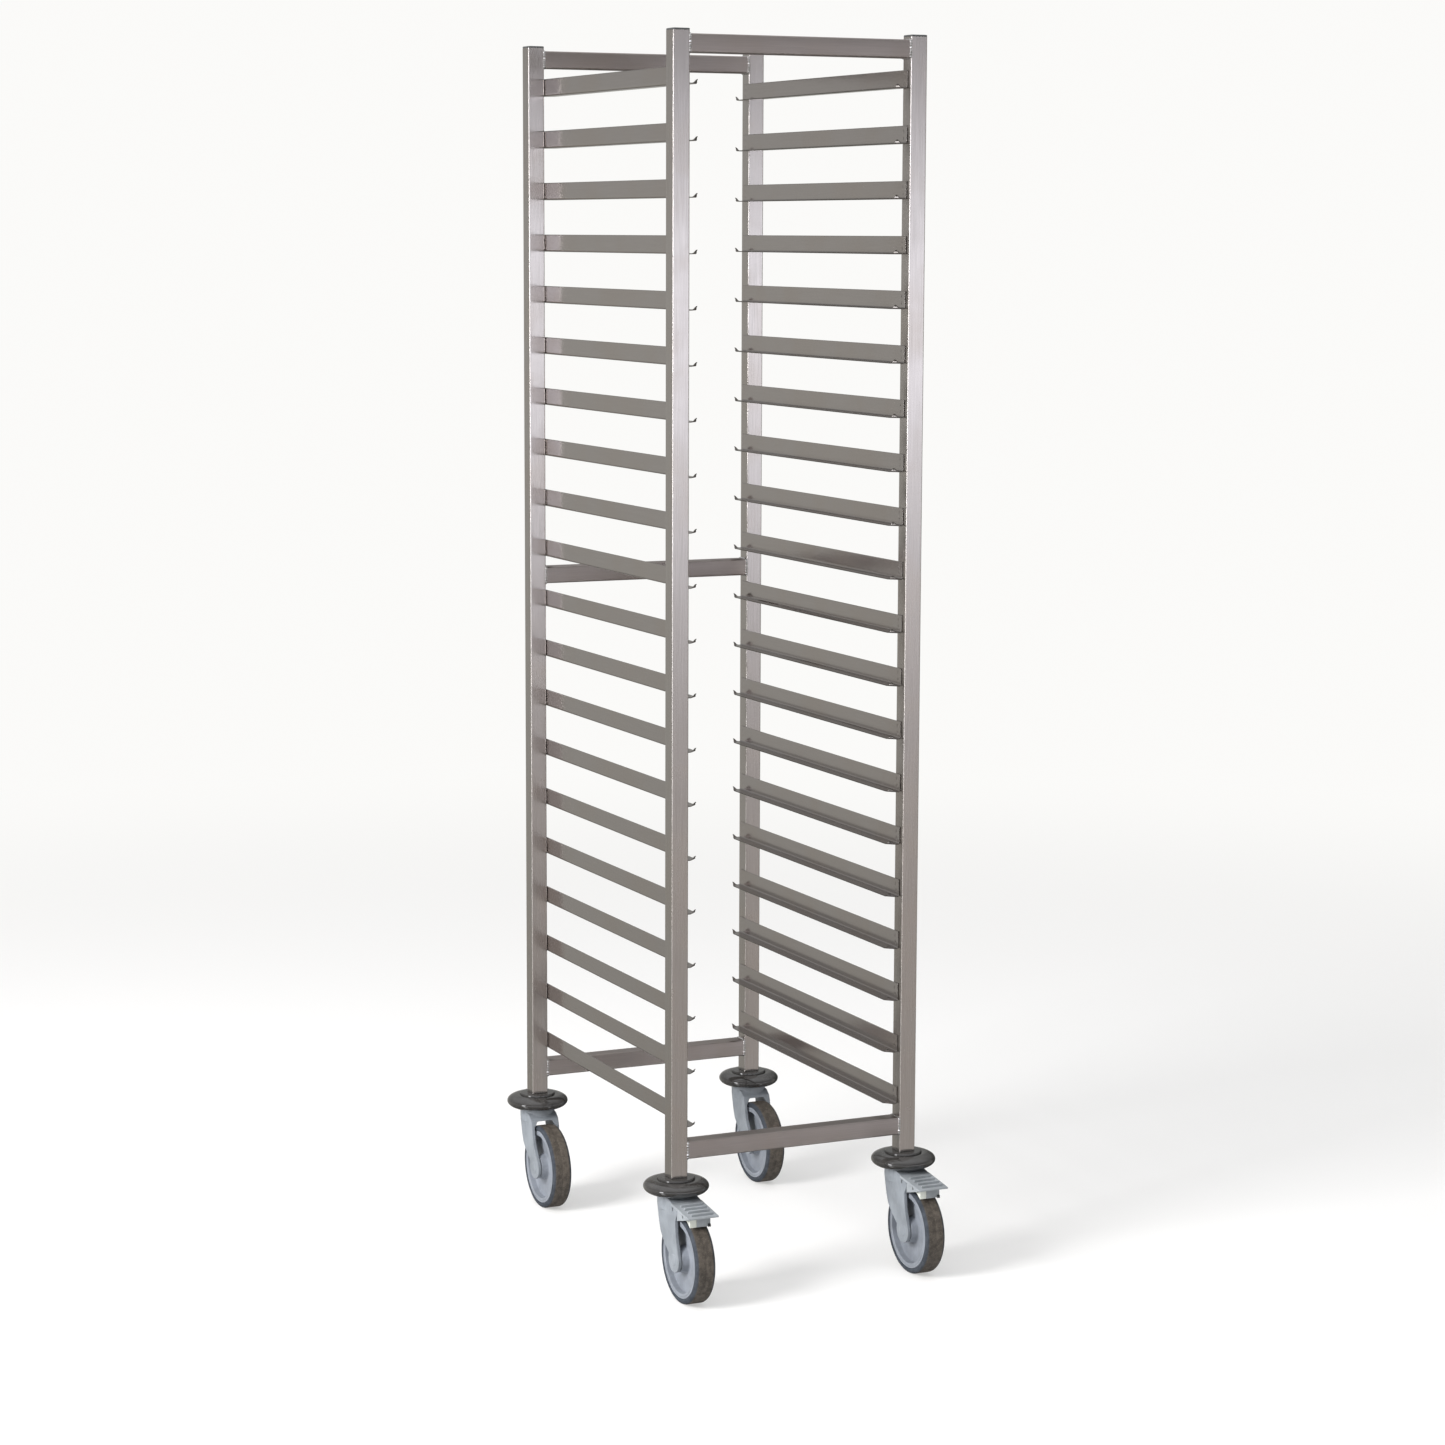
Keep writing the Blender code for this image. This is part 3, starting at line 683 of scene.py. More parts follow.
TUBE_COLOUR = (0.600, 0.565, 0.545)
# The cross tubes are the uprights' tubing painted darker: partly its own tone, partly painted shade.
CROSS_COLOUR_WITH_SHADE = (0.490, 0.442, 0.420)
SLIDE_COLOUR = (0.562, 0.527, 0.515)
UPRIGHT_STEEL = steel("upright steel", "Z", TUBE_COLOUR, 0.24, 0.80)
CROSS_STEEL = steel("cross tube steel", "X", CROSS_COLOUR_WITH_SHADE, 0.33, 0.85)
SLIDE_STEEL = steel("slide steel", "Y", SLIDE_COLOUR, 0.17, 0.40, streak=0.5)
WELD_STEEL = weld_steel()
TURNED_STEEL = turned_steel()
HOUSING = moulding("castor housing", (0.200, 0.219, 0.242), 0.42)
PEDAL = moulding("brake pedal", (0.250, 0.270, 0.288), 0.38)
WHEEL_CENTRE = moulding("wheel centre", (0.196, 0.213, 0.243), 0.40)
SHEARED_STEEL = sheared_steel()
SHOE = moulding("brake shoe", (0.56, 0.58, 0.53), 0.5)
# Dark nylon for the retainer's end on the carrier, and painted shade in the slots.
DARK_NYLON_AND_SLOT_SHADE = moulding("dark nylon and slot shade", (0.030, 0.032, 0.035), 0.45)
CAP_NYLON = moulding("end cap nylon", (0.055, 0.057, 0.058), 0.5)
BUMPER = bumper_rubber()
TYRE = tyre_rubber()


# ---- frame tubes ----


def axis_of(corner):
    x, y, _ = JOINTS[f"swivel_joint_{corner}"]["pos_m"]
    return x, y


def build_uprights():
    for corner in CORNERS:
        node = corner.split("_")[0] + "_frame"
        low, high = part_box(node)
        x, y = axis_of(corner)
        top = high.z - CAP_THICKNESS
        mesh = square_tube("Z", low.z, top)
        part_of(f"upright_{corner}", mesh, UPRIGHT_STEEL, (x, y, 0), "rack", node, "tube_steel")
        part_of(f"end_cap_{corner}", end_cap(top, high.z), CAP_NYLON, (x, y, 0), "rack", node)


def end_cap(low, high):
    """A pressed-in plug: a head flush with the tube, slightly crowned, and a ribbed shank."""
    half = TUBE / 2
    shank = half - TUBE_WALL - 0.0004
    low += 0.0001
    rings = []
    for size, radius, z in (
        (shank - 0.0006, 0.0010, low - 0.0120),
        (shank, 0.0010, low - 0.0105),
        (shank, 0.0010, low - 0.0070),
        (shank - 0.0007, 0.0010, low - 0.0066),
        (shank - 0.0007, 0.0010, low - 0.0040),
        (shank, 0.0010, low - 0.0036),
        (shank - 0.0004, 0.0010, low),
        (half - 0.0003, TUBE_CORNER, low),
        (half, TUBE_CORNER, low + 0.0003),
        (half, TUBE_CORNER, high - 0.0010),
        (half - 0.0003, TUBE_CORNER, high - 0.0005),
        (half - 0.0010, TUBE_CORNER, high - 0.0002),
        (half - 0.0040, TUBE_CORNER, high),
    ):
        rings.append([(a, b, z) for a, b in rounded_square(size, radius)])
    return shaded(lofted(rings, caps=True))


def build_cross_tubes():
    for end, heights in CROSS_HEIGHTS.items():
        x, y = axis_of(f"{end}_right")
        reach = x - TUBE / 2
        y += CROSS_SET_IN
        said = ("rack", f"{end}_frame", "tube_steel")
        for place, z in heights.items():
            mesh = square_tube("X", -reach, reach)
            part_of(f"cross_tube_{end}_{place}", mesh, CROSS_STEEL, (0, y, z), *said)
            for side, word in ((-1, "left"), (1, "right")):
                name = f"weld_{end}_{place}_{word}"
                part_of(name, weld_bead(side), WELD_STEEL, (side * reach, y, z), *said)


def weld_bead(side):
    """A rippled bead round the end of a cross tube, about the middle of the joint."""
    outline = []
    half = TUBE / 2
    path = rounded_square(half - WELD_SINK, TUBE_CORNER, steps=4)
    for here, following in zip(path, path[1:] + path[:1]):
        length = math.dist(here, following)
        steps = max(1, round(length / WELD_STEP))
        for step in range(steps):
            share = step / steps
            outline.append([h + (f - h) * share for h, f in zip(here, following)])
    rings = []
    travelled = 0.0
    before = outline[-1]
    for index, (a, b) in enumerate(outline):
        travelled += math.dist(before, (a, b))
        before = (a, b)
        phase = travelled / WELD_PITCH % 1.0
        swell = 1.0 - WELD_RIPPLE + WELD_RIPPLE * math.sin(math.pi * phase) ** 0.7
        # No two ripples of a hand weld are alike.
        swell *= 1.0 + 0.10 * math.sin(index * 1.7) + 0.06 * math.sin(index * 0.37)
        radius = WELD_RADIUS * swell
        outward = Vector((a, b)).normalized()
        if abs(a) > half - TUBE_CORNER and abs(b) < half - TUBE_CORNER:
            outward = Vector((math.copysign(1, a), 0))
        elif abs(b) > half - TUBE_CORNER and abs(a) < half - TUBE_CORNER:
            outward = Vector((0, math.copysign(1, b)))
        ring = []
        for angle in circle(WELD_SIDES):
            out = radius * WELD_OUT * math.cos(angle)
            along = radius * WELD_ALONG * math.sin(angle)
            ring.append((-side * WELD_LEAN + along, a + outward.x * out, b + outward.y * out))
        rings.append(ring)
    return shaded(lofted(rings, closed_along=True), 70)


# ---- slides ----


def slide_section(web_height, ledge_width):
    """Points down the web, round the fold and out along the ledge, with the normal inwards."""
    section = []
    steps = round((web_height - FOLD_RADIUS) / WEB_STEP)
    for step in range(steps):
        section.append((0.0, web_height - (web_height - FOLD_RADIUS) * step / steps, 1.0, 0.0))
    for across, up in arc((FOLD_RADIUS, FOLD_RADIUS), FOLD_RADIUS, 180, 270, 6):
        inward = Vector((FOLD_RADIUS - across, FOLD_RADIUS - up)).normalized()
        section.append((across, up, inward.x, inward.y))
    steps = round((ledge_width - FOLD_RADIUS) / FINE_STEP)
    for step in range(1, steps + 1):
        across = FOLD_RADIUS + (ledge_width - FOLD_RADIUS) * step / steps
        section.append((across, 0.0, 0.0, 1.0))
    return section


def ear_profile(beyond):
    """How far out and up the ear's sheet runs, and its slope, a length beyond the fold line.

    It curls up, runs straight and then flattens out again into a lip.
    """
    bend = min(beyond, EAR_CURL_RADIUS * EAR_CURL)
    slope = bend / EAR_CURL_RADIUS
    reach = EAR_CURL_RADIUS * math.sin(slope)
    rise = EAR_CURL_RADIUS * (1 - math.cos(slope))
    straight = max(0.0, min(beyond, EAR_LIP_START) - bend)
    reach += straight * math.cos(slope)
    rise += straight * math.sin(slope)
    lip = max(0.0, beyond - EAR_LIP_START)
    flatter = slope - lip / EAR_LIP_RADIUS
    reach += EAR_LIP_RADIUS * (math.sin(slope) - math.sin(flatter))
    rise += EAR_LIP_RADIUS * (math.cos(flatter) - math.cos(slope))
    return reach, rise, flatter


def curled(across, along, depth, ear_root, half_length):
    """Where a point of the flat ledge goes as its corner is turned up. depth is above its underside."""
    beyond = ((across - ear_root) + (abs(along) - half_length)) / math.sqrt(2)
    if beyond <= 0:
        return across, along, depth
    reach, rise, slope = ear_profile(beyond)
    reach -= depth * math.sin(slope)
    rise += depth * math.cos(slope)
    back = (beyond - reach) / math.sqrt(2)
    return across - back, along - math.copysign(back, along), rise


def slide_mesh(side, half_length, web_height, ledge_width):
    """The L of sheet, with its turned-up ears and the dimples of its spot welds.

    side is 1 on the left of the rack. The origin is inside the L, at the middle of its length.
    """
    section = slide_section(web_height, ledge_width)
    ear_root = ledge_width - EAR_LEG
    fine = round((EAR_LEG + FINE_MARGIN) / FINE_STEP)
    stations = [-half_length + FINE_STEP * step for step in range(fine + 1)]
    middle = half_length - FINE_STEP * fine
    stations += [middle * share for share in (-0.75, -0.5, -0.25, 0.0, 0.25, 0.5, 0.75)]
    stations += [-along for along in reversed(stations[: fine + 1])]
    bm = bmesh.new()
    layers = []
    for depth in (0.0, SHEET):
        rows = []
        for along in stations:
            row = []
            for across, up, nx, nz in section:
                x, z, y = across + nx * depth, up + nz * depth, along
                if up == 0.0 and across > ear_root:
                    x, y, z = curled(across, along, depth, ear_root, half_length)
                if depth > 0 and across == 0.0:
                    x -= spot_dent(along, up, half_length)
                row.append(bm.verts.new((side * x, y, z)))
            rows.append(row)
        layers.append(rows)
    under, over = layers
    last = len(section) - 1
    for a in range(len(stations) - 1):
        for b in range(last):
            bm.faces.new((under[a][b], under[a][b + 1], under[a + 1][b + 1], under[a + 1][b]))
            bm.faces.new((over[a][b], over[a + 1][b], over[a + 1][b + 1], over[a][b + 1]))
        for b in (0, last):
            edge = bm.faces.new((under[a][b], under[a + 1][b], over[a + 1][b], over[a][b]))
            edge.material_index = 1 if b == last else 0
    for a in (0, len(stations) - 1):
        for b in range(last):
            edge = bm.faces.new((under[a][b], under[a][b + 1], over[a][b + 1], over[a][b]))
            edge.material_index = 1
    inside = Vector((side * -SLIDE_ORIGIN, 0, -SLIDE_ORIGIN))
    bmesh.ops.translate(bm, vec=inside, verts=bm.verts)
    flat = mesh_of(bm)
    flat.materials.append(SLIDE_STEEL)
    flat.materials.append(SHEARED_STEEL)
    sheet = linked("sheet", flat)
    rounding = sheet.modifiers.new("sheared edge", "BEVEL")
    rounding.width = SHEAR_ROUNDING
    rounding.segments = 2
    rounding.limit_method = "ANGLE"
    rounding.angle_limit = math.radians(60)
    return shaded(evaluated(sheet), 50)


def spot_dent(along, up, half_length):
    """How far the electrode has pressed the web in at a point."""
    dent = 0.0
    for height in SPOT_HEIGHTS:
        away = math.hypot(half_length - SPOT_SET_BACK - abs(along), up - height)
        if away < SPOT_RADIUS:
            dent += SPOT_DEPTH * (1 - (away / SPOT_RADIUS) ** 2) ** 2
    return dent


def build_slides():
    for side, word in ((1, "left"), (-1, "right")):
        shared = None
        for level in range(1, LEVELS + 1):
            node = f"slide_{word}_{level:02d}"
            low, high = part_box(node)
            if shared is None:
                size = high - low
                shared = slide_mesh(side, size.y / 2, size.z, size.x)
            wall = low.x if side > 0 else high.x
            place = (wall + side * SLIDE_ORIGIN, (low.y + high.y) / 2, low.z + SLIDE_ORIGIN)
            part_of(f"runner_{word}_{level:02d}", shared, SLIDE_STEEL, place, "rack", node, "slide_steel")


# ---- castors ----


def bumper_mesh():
    low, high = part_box("bumper_front_left")
    outer = (high.x - low.x) / 2
    profile = [(BUMPER_BORE, low.z), (BUMPER_BORE, high.z)]
    profile += arc((BUMPER_COLLAR - 0.0012, high.z - 0.0012), 0.0012, 90, 0, 5)
    profile += arc((BUMPER_COLLAR + 0.0010, high.z - 0.0030), 0.0010, 180, 250, 4)
    for across, up in arc((0, 0), 1, BUMPER_ROLL_START, BUMPER_ROLL_END, BUMPER_ROLL_STEPS):
        out = outer - BUMPER_LENS + BUMPER_LENS * across
        profile.append((out, BUMPER_ROLL_Z + BUMPER_ROLL * up))
    profile += arc((BUMPER_COLLAR + 0.0004, low.z - 0.0006), 0.0010, 90, 150, 3)
    profile.append((BUMPER_COLLAR - 0.0006, low.z))
    return shaded(turned(profile, 128))


def race_mesh():
    """The pressed ring of the swivel head, under the bumper, and the stem in the upright."""
    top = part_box("bumper_front_left")[0].z - 0.0002
    profile = [(TURNED_BORE, CROWN_TOP - 0.0030), (TURNED_BORE, STEM_TOP)]
    profile += [(STEM_RADIUS - 0.0012, STEM_TOP), (STEM_RADIUS, STEM_TOP - 0.0012)]
    profile += [(STEM_RADIUS, top), (RACE_RADIUS - 0.0006, top)]
    profile += arc((RACE_RADIUS - 0.0006, top - 0.0007), 0.0007, 90, -90, 6)
    profile += [(RACE_RADIUS - 0.0014, CROWN_TOP + 0.0002), (RACE_RADIUS - 0.0030, CROWN_TOP - 0.0030)]
    return shaded(turned(profile, 96))


def fork_outline(braked, axle, pivot):
    """(y, z) outline of the fork from the side."""
    if braked:
        front = [
            (-0.0200, CROWN_TOP - 0.003),
            (FORK_FRONT, DECK_BACK[1] + 0.0004),
            (FORK_FRONT, pivot[1] + LUG_RADIUS),
        ]
        front += arc(pivot, LUG_RADIUS, 90, 225, 12)
        front += [(-0.0465, 0.1180), (-0.0480, 0.0980), (-0.0535, 0.0820)]
    else:
        front = [
            (-0.0200, CROWN_TOP - 0.008), (-0.0290, 0.1325), (-0.0325, 0.1240),
            (-0.0345, 0.1120), (-0.0385, 0.0970), (-0.0470, 0.0840),
        ]
    rear = [
        (-0.0250, 0.0690), (-0.0140, 0.0765), (-0.0050, 0.0835), (0.0035, 0.0930),
        (0.0085, 0.1050), (0.0125, 0.1200), (0.0155, 0.1320), (0.0155, CROWN_TOP - 0.003),
    ]
    return front + arc(axle, LEG_END_RADIUS, 150, 370, 28) + rear


def slot_outline(middle):
    """A short upright slot with round ends, as (y, z) points."""
    y, z = middle
    outline = arc((y, z + SLOT_HALF_LENGTH), SLOT_RADIUS, 0, 180, 8)
    return outline + arc((y, z - SLOT_HALF_LENGTH), SLOT_RADIUS, 180, 360, 8)


def crown_mesh():
    """The round head of the fork."""
    profile = arc((CROWN_RADIUS - CROWN_CORNER, CROWN_TOP - CROWN_CORNER), CROWN_CORNER, 90, 0, 4)
    profile.append((CROWN_RADIUS, CROWN_UNDERSIDE - 0.004))
    rings = [[(r * math.cos(a), r * math.sin(a), z) for a in circle(64)] for r, z in profile]
    return lofted(rings, caps=True)


def fork_mesh(braked, axle, pivot):
    """Crown and legs, with a round pad at each axle end and, if braked, a well and slots."""
    legs = slab(fork_outline(braked, axle, pivot), -FORK_HALF_WIDTH, FORK_HALF_WIDTH)
    arch_z = CROWN_UNDERSIDE - ARCH_CORNER
    slot = [(-FORK_SLOT, CUT_LOW), (-FORK_SLOT, ARCH_SPRING)]
    slot += arc((-ARCH_HALF_WIDTH, arch_z), ARCH_CORNER, 150, 90, 4)
    slot += arc((ARCH_HALF_WIDTH, arch_z), ARCH_CORNER, 90, 30, 4)
    slot += [(FORK_SLOT, ARCH_SPRING), (FORK_SLOT, CUT_LOW)]
    cuts = [slab(slot, CUT_FRONT, CUT_BACK, axis="Y")]
    if braked:
        low, high = WELL_HEIGHTS
        well = [(-FORK_SLOT, low), (FORK_SLOT, low), (FORK_SLOT, high), (-FORK_SLOT, high)]
        cuts.append(slab(well, CUT_FRONT, FORK_FRONT, axis="Y"))
        cuts += both_sides(slot_outline(FORK_SLOT_PLACE), SLOT_FLOOR, SLOT_MOUTH)
    pads = []
    for side in (-1, 1):
        inner = (side * (FORK_HALF_WIDTH - 0.002), *axle)
        outer = (side * (FORK_HALF_WIDTH + AXLE_PAD_HEIGHT), *axle)
        pads.append(rod(AXLE_PAD_RADIUS, inner, outer, 48))
    return moulded(combined(legs, unions=[crown_mesh(), *pads], cuts=cuts), FORK_VOXEL, 2)


def axle_mesh():
    """A plain axle that ends just inside both legs."""
    end = FORK_SLOT + 0.0008
    profile = [(TURNED_BORE, -end), (TURNED_BORE, end), (AXLE_RADIUS, end), (AXLE_RADIUS, -end)]
    return shaded(turned(profile, 48, axis="X"))


def hub_mesh():
    """Wheel centre: rim band, dished web and a stepped boss, the same on both sides."""
    low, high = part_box("wheel_hub_front_left")
    boss = (high.x - low.x) / 2
    face = boss - 0.002
    web = face - WHEEL_DISH
    wall = RIM_RADIUS - 0.0070
    side = [(RIM_RADIUS, face - 0.0006), (RIM_RADIUS - 0.0005, face)]
    side += arc((RIM_RADIUS - 0.0030, face + 0.0001), 0.0004, 0, -180, 4)
    side += arc((wall + 0.0006, face - 0.0006), 0.0006, 90, 180, 4)
    side += arc((wall - 0.0030, web + 0.0026), 0.0026, 0, -90, 6)
    side += arc((BOSS_RADIUS + 0.0040, web + 0.0030), 0.0026, 270, 190, 6)
    side += [(BOSS_RADIUS, boss - 0.0010)]
    side += arc((BOSS_RADIUS - 0.0009, boss - 0.0009), 0.0009, 10, 90, 4)
    side += [(BOSS_RADIUS - 0.0030, boss), (BOSS_RADIUS - 0.0035, boss - 0.0012)]
    side += [(0.0104, boss - 0.0012), (0.0098, boss - 0.0002), (AXLE_RADIUS + 0.0008, boss)]
    profile = side + [(radius, -height) for radius, height in reversed(side)]
    return shaded(turned(profile, 128, axis="X"), 25)


def tyre_mesh():
    """Rubber tread with rounded shoulders and a shallow moulding line at its middle."""
    low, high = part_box("tyre_front_left")
    half = (high.x - low.x) / 2
    radius = (high.z - low.z) / 2
    inner = RIM_RADIUS + 0.0002
    profile = [(inner, -half + 0.0012), (inner, half - 0.0012), (inner + 0.0008, half - 0.0004)]
    profile += [(inner + 0.0022, half)]
    side, top = half - TYRE_SHOULDER, radius - TYRE_SHOULDER
    profile += [(r, x) for x, r in arc((side, top), TYRE_SHOULDER, 0, 90, 10)]
    profile += [(radius, 0.0010), (radius - 0.0002, 0.0003)]
    profile += [(radius - 0.0002, -0.0003), (radius, -0.0010)]
    profile += [(r, x) for x, r in arc((-side, top), TYRE_SHOULDER, 90, 180, 10)]
    profile += [(inner + 0.0022, -half), (inner + 0.0008, -half + 0.0004)]
    return shaded(turned(profile, 144, axis="X"), 40)


def deck_z(y):
    share = (y - DECK_BACK[0]) / (DECK_TIP[0] - DECK_BACK[0])
    return DECK_BACK[1] + share * (DECK_TIP[1] - DECK_BACK[1])


def pedal_mesh(pivot, axle, radius):
    """Tread plate with its ridges, side skirts, shoe carrier and the knuckle round the pin."""
    tip_y, tip_z = DECK_TIP
    deck = slab(
        [
            DECK_BACK, DECK_TIP, (tip_y, tip_z - DECK_TIP_THICKNESS),
            (SKIRT_BACK, deck_z(SKIRT_BACK) - DECK_THICKNESS),
            (DECK_BACK[0], DECK_BACK[1] - DECK_THICKNESS),
        ],
        -DECK_HALF_WIDTH,
        DECK_HALF_WIDTH,
    )
    skirt = [
        (SKIRT_BACK, deck_z(SKIRT_BACK) - BITE), (SKIRT_FRONT, deck_z(SKIRT_FRONT) - BITE),
        (SKIRT_FRONT, SKIRT_FRONT_LOW_Z), (SKIRT_BACK, SKIRT_BACK_LOW_Z),
    ]
    additions = both_sides(skirt, FORK_HALF_WIDTH - SKIRT_THICKNESS, FORK_HALF_WIDTH)
    holes = both_sides(slot_outline(SKIRT_SLOT_PLACE), SLOT_FLOOR, SLOT_MOUTH)
    reach = LUG_RADIUS - 0.001
    root = deck_z(pivot[0]) - BITE
    knuckle = arc(pivot, reach, 180, 360, 16) + [(pivot[0] + reach, root), (pivot[0] - reach, root)]
    additions.append(slab(knuckle, -KNUCKLE_HALF_WIDTH, KNUCKLE_HALF_WIDTH))
    for index in range(RIDGES):
        y = FIRST_RIDGE_Y - index * RIDGE_PITCH
        z = deck_z(y)
        ridge = [
            (y + 0.0024, z - BITE), (y - 0.0008, z - BITE),
            (y - 0.0006, z + RIDGE_HEIGHT), (y + 0.0006, z + RIDGE_HEIGHT),
        ]
        additions.append(slab(ridge, *RIDGE_ENDS))
        groove = [
            (y - 0.0008, z + 0.001), (y - 0.0010, z - GROOVE_DEPTH),
            (y - 0.0027, z - GROOVE_DEPTH), (y - 0.0031, z + 0.001),
        ]
        holes.append(slab(groove, *RIDGE_ENDS))
    additions.append(slab(shoe_outline(axle, radius), SHOE_SPLIT, SHOE_HALF_WIDTH))
    past = KNUCKLE_HALF_WIDTH + 0.008
    holes.append(rod(PIN_RADIUS + PIN_GAP, (-past, *pivot), (past, *pivot)))
    return moulded(combined(deck, unions=additions, cuts=holes), PEDAL_VOXEL, 1)


def shoe_outline(axle, radius):
    """(y, z) outline of the block under the pedal's tip, hollowed to the tyre's curve."""
    gap = radius + SHOE_TYRE_GAP
    outline = [
        (SHOE_BACK, deck_z(SHOE_BACK) - DECK_TIP_THICKNESS),
        (SHOE_FRONT, deck_z(SHOE_FRONT) - DECK_TIP_THICKNESS),
    ]
    for step in range(9):
        y = SHOE_FRONT + (SHOE_BACK - SHOE_FRONT) * step / 8
        outline.append((y, axle[1] + math.sqrt(gap**2 - (y - axle[0]) ** 2)))
    return outline


def shoe_mesh(axle, radius):
    """The pale brake block beside the carrier."""
    block = slab(shoe_outline(axle, radius), -SHOE_HALF_WIDTH, SHOE_SPLIT - 0.0003)
    return moulded(block, PEDAL_VOXEL, 2)


def slot_shade_mesh(place):
    """Dark pieces that fill the slots on both sides, a little below the surface: painted shade that
    darkens the slots.
    """
    return both_sides(slot_outline(place), SLOT_FLOOR + SLOT_SHADE_DEPTH / 2, FORK_HALF_WIDTH - SLOT_SHADE_DEPTH)


def spring_end_mesh():
    """The dark end of the spring's retainer on the carrier's front, and dark pieces in the skirts' slots
    that are painted shade.
    """
    low, high = SPRING_END_HEIGHTS
    outline = [
        (SHOE_FRONT - 0.0001, high), (SHOE_FRONT - 0.0016, high - 0.0006),
        (SHOE_FRONT - 0.0022, low + 0.0010), (SHOE_FRONT - 0.0014, low), (SHOE_FRONT - 0.0001, low),
    ]
    end = slab(outline, SHOE_HALF_WIDTH - 0.0040, SHOE_HALF_WIDTH)
    # The dark pieces in the skirts' slots are painted shade.
    return moulded(combined(end, unions=slot_shade_mesh(SKIRT_SLOT_PLACE)), DARK_PIECE_VOXEL, 2)


def fork_slot_shade_mesh():
    left, right = slot_shade_mesh(FORK_SLOT_PLACE)
    return moulded(combined(left, unions=[right]), DARK_PIECE_VOXEL, 2)


def build_castors():
    """Bumper, fork, axle and wheel at every corner, and the brake where there is one."""
    bumper = bumper_mesh()
    race = race_mesh()
    hub = hub_mesh()
    tyre = tyre_mesh()
    axle_bar = axle_mesh()
    forks = {}
    for corner in CORNERS:
        x, y = axis_of(corner)
        swivel = f"swivel_{corner}"
        centre = JOINTS[f"wheel_spin_{corner}"]["pos_m"]
        axle = (centre[1] - y, centre[2])
        braked = corner in BRAKED
        pivot = None
        if braked:
            pin = JOINTS[f"brake_press_{corner}"]["pos_m"]
            pivot = (pin[1] - y, pin[2])
        if braked not in forks:
            forks[braked] = fork_mesh(braked, axle, pivot)
        stand = (x, y, 0)
        node = f"castor_fork_{corner}"
        pieces = (
            (f"bumper_disc_{corner}", bumper, BUMPER, stand, "rack", f"bumper_{corner}", "bumper"),
            (f"swivel_race_{corner}", race, TURNED_STEEL, stand, swivel, node, None),
            (f"castor_housing_{corner}", forks[braked], HOUSING, stand, swivel, node, "castor_housing"),
            (f"axle_{corner}", axle_bar, TURNED_STEEL, centre, swivel, node, None),
            (f"wheel_centre_{corner}", hub, WHEEL_CENTRE, centre, f"wheel_{corner}",
             f"wheel_hub_{corner}", "wheel_centre"),
            (f"rubber_tyre_{corner}", tyre, TYRE, centre, f"wheel_{corner}", f"tyre_{corner}", "tyre"),
        )
        for piece in pieces:
            part_of(*piece)
        if braked:
            build_brake(corner, stand, axle, pivot)


def build_brake(corner, stand, axle, pivot):
    """The pedal with what tips with it, and the pin and the painted-shade pieces in the slots that stay
    in the fork.
    """
    # The wheel stands on the floor, so its axle is one radius up.
    radius = axle[1]
    pedal = pedal_mesh(pivot, axle, radius)
    shoe = shoe_mesh(axle, radius)
    pin = shaded(rod(PIN_RADIUS, (-PIN_REACH, *pivot), (PIN_REACH, *pivot)))
    tipping = (f"pedal_{corner}", f"brake_pedal_{corner}")
    fixed = (f"swivel_{corner}", f"castor_fork_{corner}")
    part_of(f"pedal_{corner}", pedal, PEDAL, stand, *tipping, "pedal")
    part_of(f"brake_shoe_{corner}", shoe, SHOE, stand, *tipping)
    part_of(f"spring_end_{corner}", spring_end_mesh(), DARK_NYLON_AND_SLOT_SHADE, stand, *tipping)
    # Dark pieces in the fork's slots: painted shade.
    part_of(f"brake_hooks_{corner}", fork_slot_shade_mesh(), DARK_NYLON_AND_SLOT_SHADE, stand, *fixed)
    part_of(f"pivot_pin_{corner}", pin, TURNED_STEEL, stand, *fixed)


# ---- studio ----


def build_floor():
    """A round sheet, finer towards its middle."""
    spokes = circle(FLOOR_SPOKES)
    bm = bmesh.new()
    rows = [[bm.verts.new((r * math.cos(a), r * math.sin(a), 0)) for a in spokes] for r in FLOOR_RADII]
    bm.faces.new(rows[0])
    for here, following in zip(rows, rows[1:]):
        for i in range(FLOOR_SPOKES):
            j = (i + 1) % FLOOR_SPOKES
            bm.faces.new((here[i], following[i], following[j], here[j]))
    mesh = bpy.data.meshes.new("floor")
    bm.to_mesh(mesh)
    bm.free()
    floor = object_of("floor", mesh, floor_paper(), (0, 0, -FLOOR_DROP))
    floor.visible_glossy = False


def build_lights():
    """The lamps. The steel doesn't show them: it is lit by the studio round it."""
    for name, (place, target, size, power, colour) in LAMPS.items():
        light = bpy.data.lights.new(name, "AREA")
        light.shape = "RECTANGLE"
        light.size, light.size_y = size
        light.energy = power
        light.color = colour
        lamp = linked(name, light)
        lamp.location = place
        aim = Vector(target) - Vector(place)
        lamp.rotation_euler = aim.to_track_quat("-Z", "Y").to_euler()
        lamp.visible_camera = False
        lamp.visible_glossy = False


def towards(azimuth, elevation=0):
    """The direction at an azimuth from +Y towards +X, and an elevation, in degrees."""
    turn, rise = math.radians(azimuth), math.radians(elevation)
    flat = math.cos(rise)
    return flat * math.sin(turn), flat * math.cos(turn), math.sin(rise)


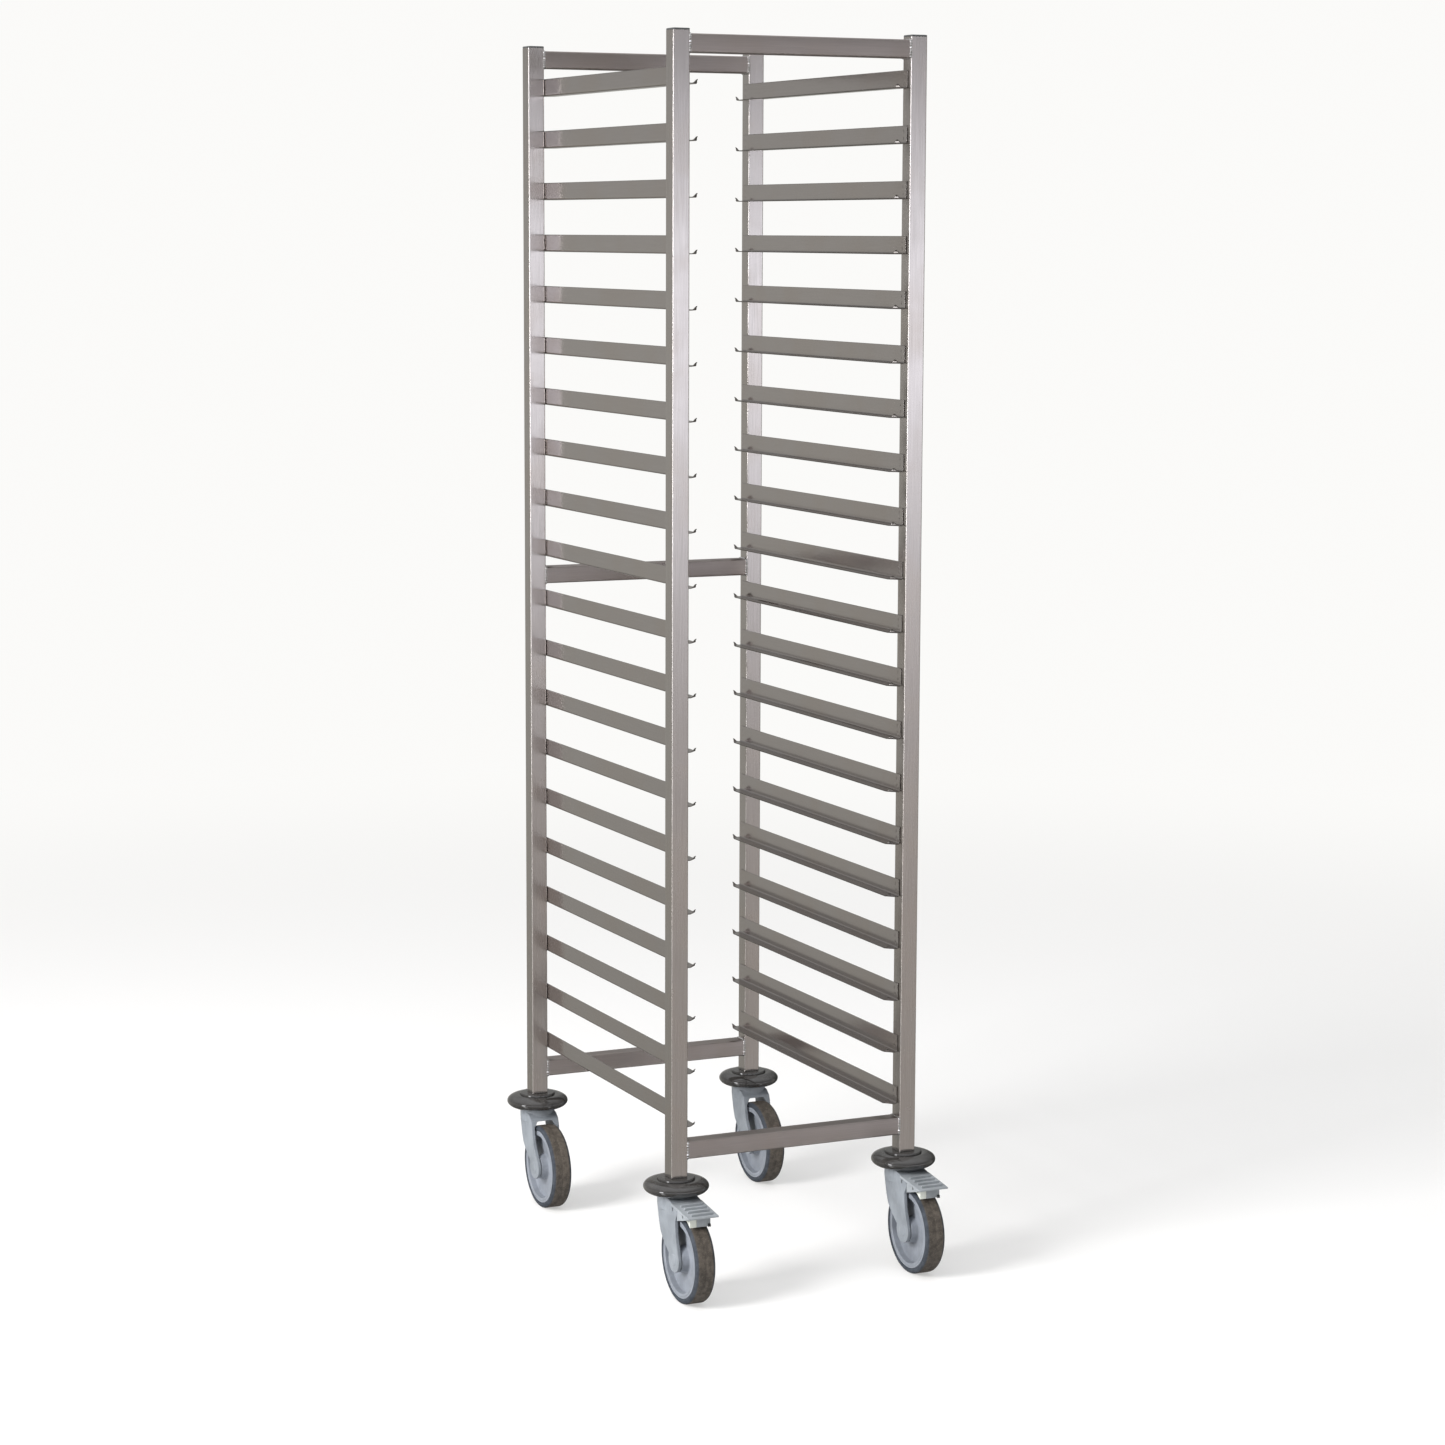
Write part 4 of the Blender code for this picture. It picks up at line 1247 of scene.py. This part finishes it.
def build_world():
    """A pale backdrop to the eye, and for reflections a studio of ramps, sectors and small lamps."""
    world = bpy.data.worlds.new("studio")
    bpy.context.scene.world = world
    world.use_nodes = True
    g = Graph(world.node_tree)
    g.nodes.clear()
    place = g.node("ShaderNodeTexCoord").outputs["Generated"]

    def nearness(direction, middle, inner, outer):
        """1 within the inner half angle of a direction, 0 beyond the outer one, in degrees."""
        facing = g.vector("DOT_PRODUCT", direction, middle)
        return g.span(facing, math.cos(math.radians(outer)), math.cos(math.radians(inner)))

    height = g.math("MULTIPLY_ADD", g.split(place)[2], 0.5, 0.5)
    level = g.vector("NORMALIZE", g.vector("MULTIPLY", place, (1, 1, 0)))
    light = g.ramp(height, DIM_STUDIO)
    for stops, azimuth, (inner, outer) in SECTORS:
        share = nearness(level, towards(azimuth), inner, outer)
        light = g.blend(share, light, g.ramp(height, stops))
    for azimuth, elevation, half_angle, strength in GLINTS:
        share = nearness(place, towards(azimuth, elevation), half_angle * 0.6, half_angle)
        light = g.blend(share, light, (strength, strength, strength))
    seen = g.node("ShaderNodeLightPath").outputs
    light = g.blend(seen["Is Diffuse Ray"], light, DULL_LIGHT)
    studio = g.node("ShaderNodeBackground", light).outputs[0]
    backdrop = g.node("ShaderNodeBackground", (*BACKDROP, 1.0)).outputs[0]
    g.node("ShaderNodeOutputWorld", g.mix(seen["Is Camera Ray"], studio, backdrop))


def build_camera():
    camera = bpy.data.cameras.new("camera")
    camera.lens = CAMERA_LENS
    camera.sensor_width = SENSOR
    camera.clip_end = FAR_CLIP
    obj = linked("camera", camera)
    azimuth, pitch, roll = (math.radians(a) for a in (CAMERA_AZIMUTH, CAMERA_PITCH, CAMERA_ROLL))
    look = Matrix.Rotation(-azimuth, 4, "Z") @ Matrix.Rotation(math.pi / 2 - pitch, 4, "X")
    look = look @ Matrix.Rotation(roll, 4, "Z")
    obj.matrix_world = Matrix.Translation(CAMERA_PLACE) @ look
    bpy.context.scene.camera = obj


build_camera()
build_uprights()
build_cross_tubes()
build_slides()
build_castors()
build_floor()
build_lights()
build_world()
bpy.context.scene.view_settings.view_transform = "Standard"
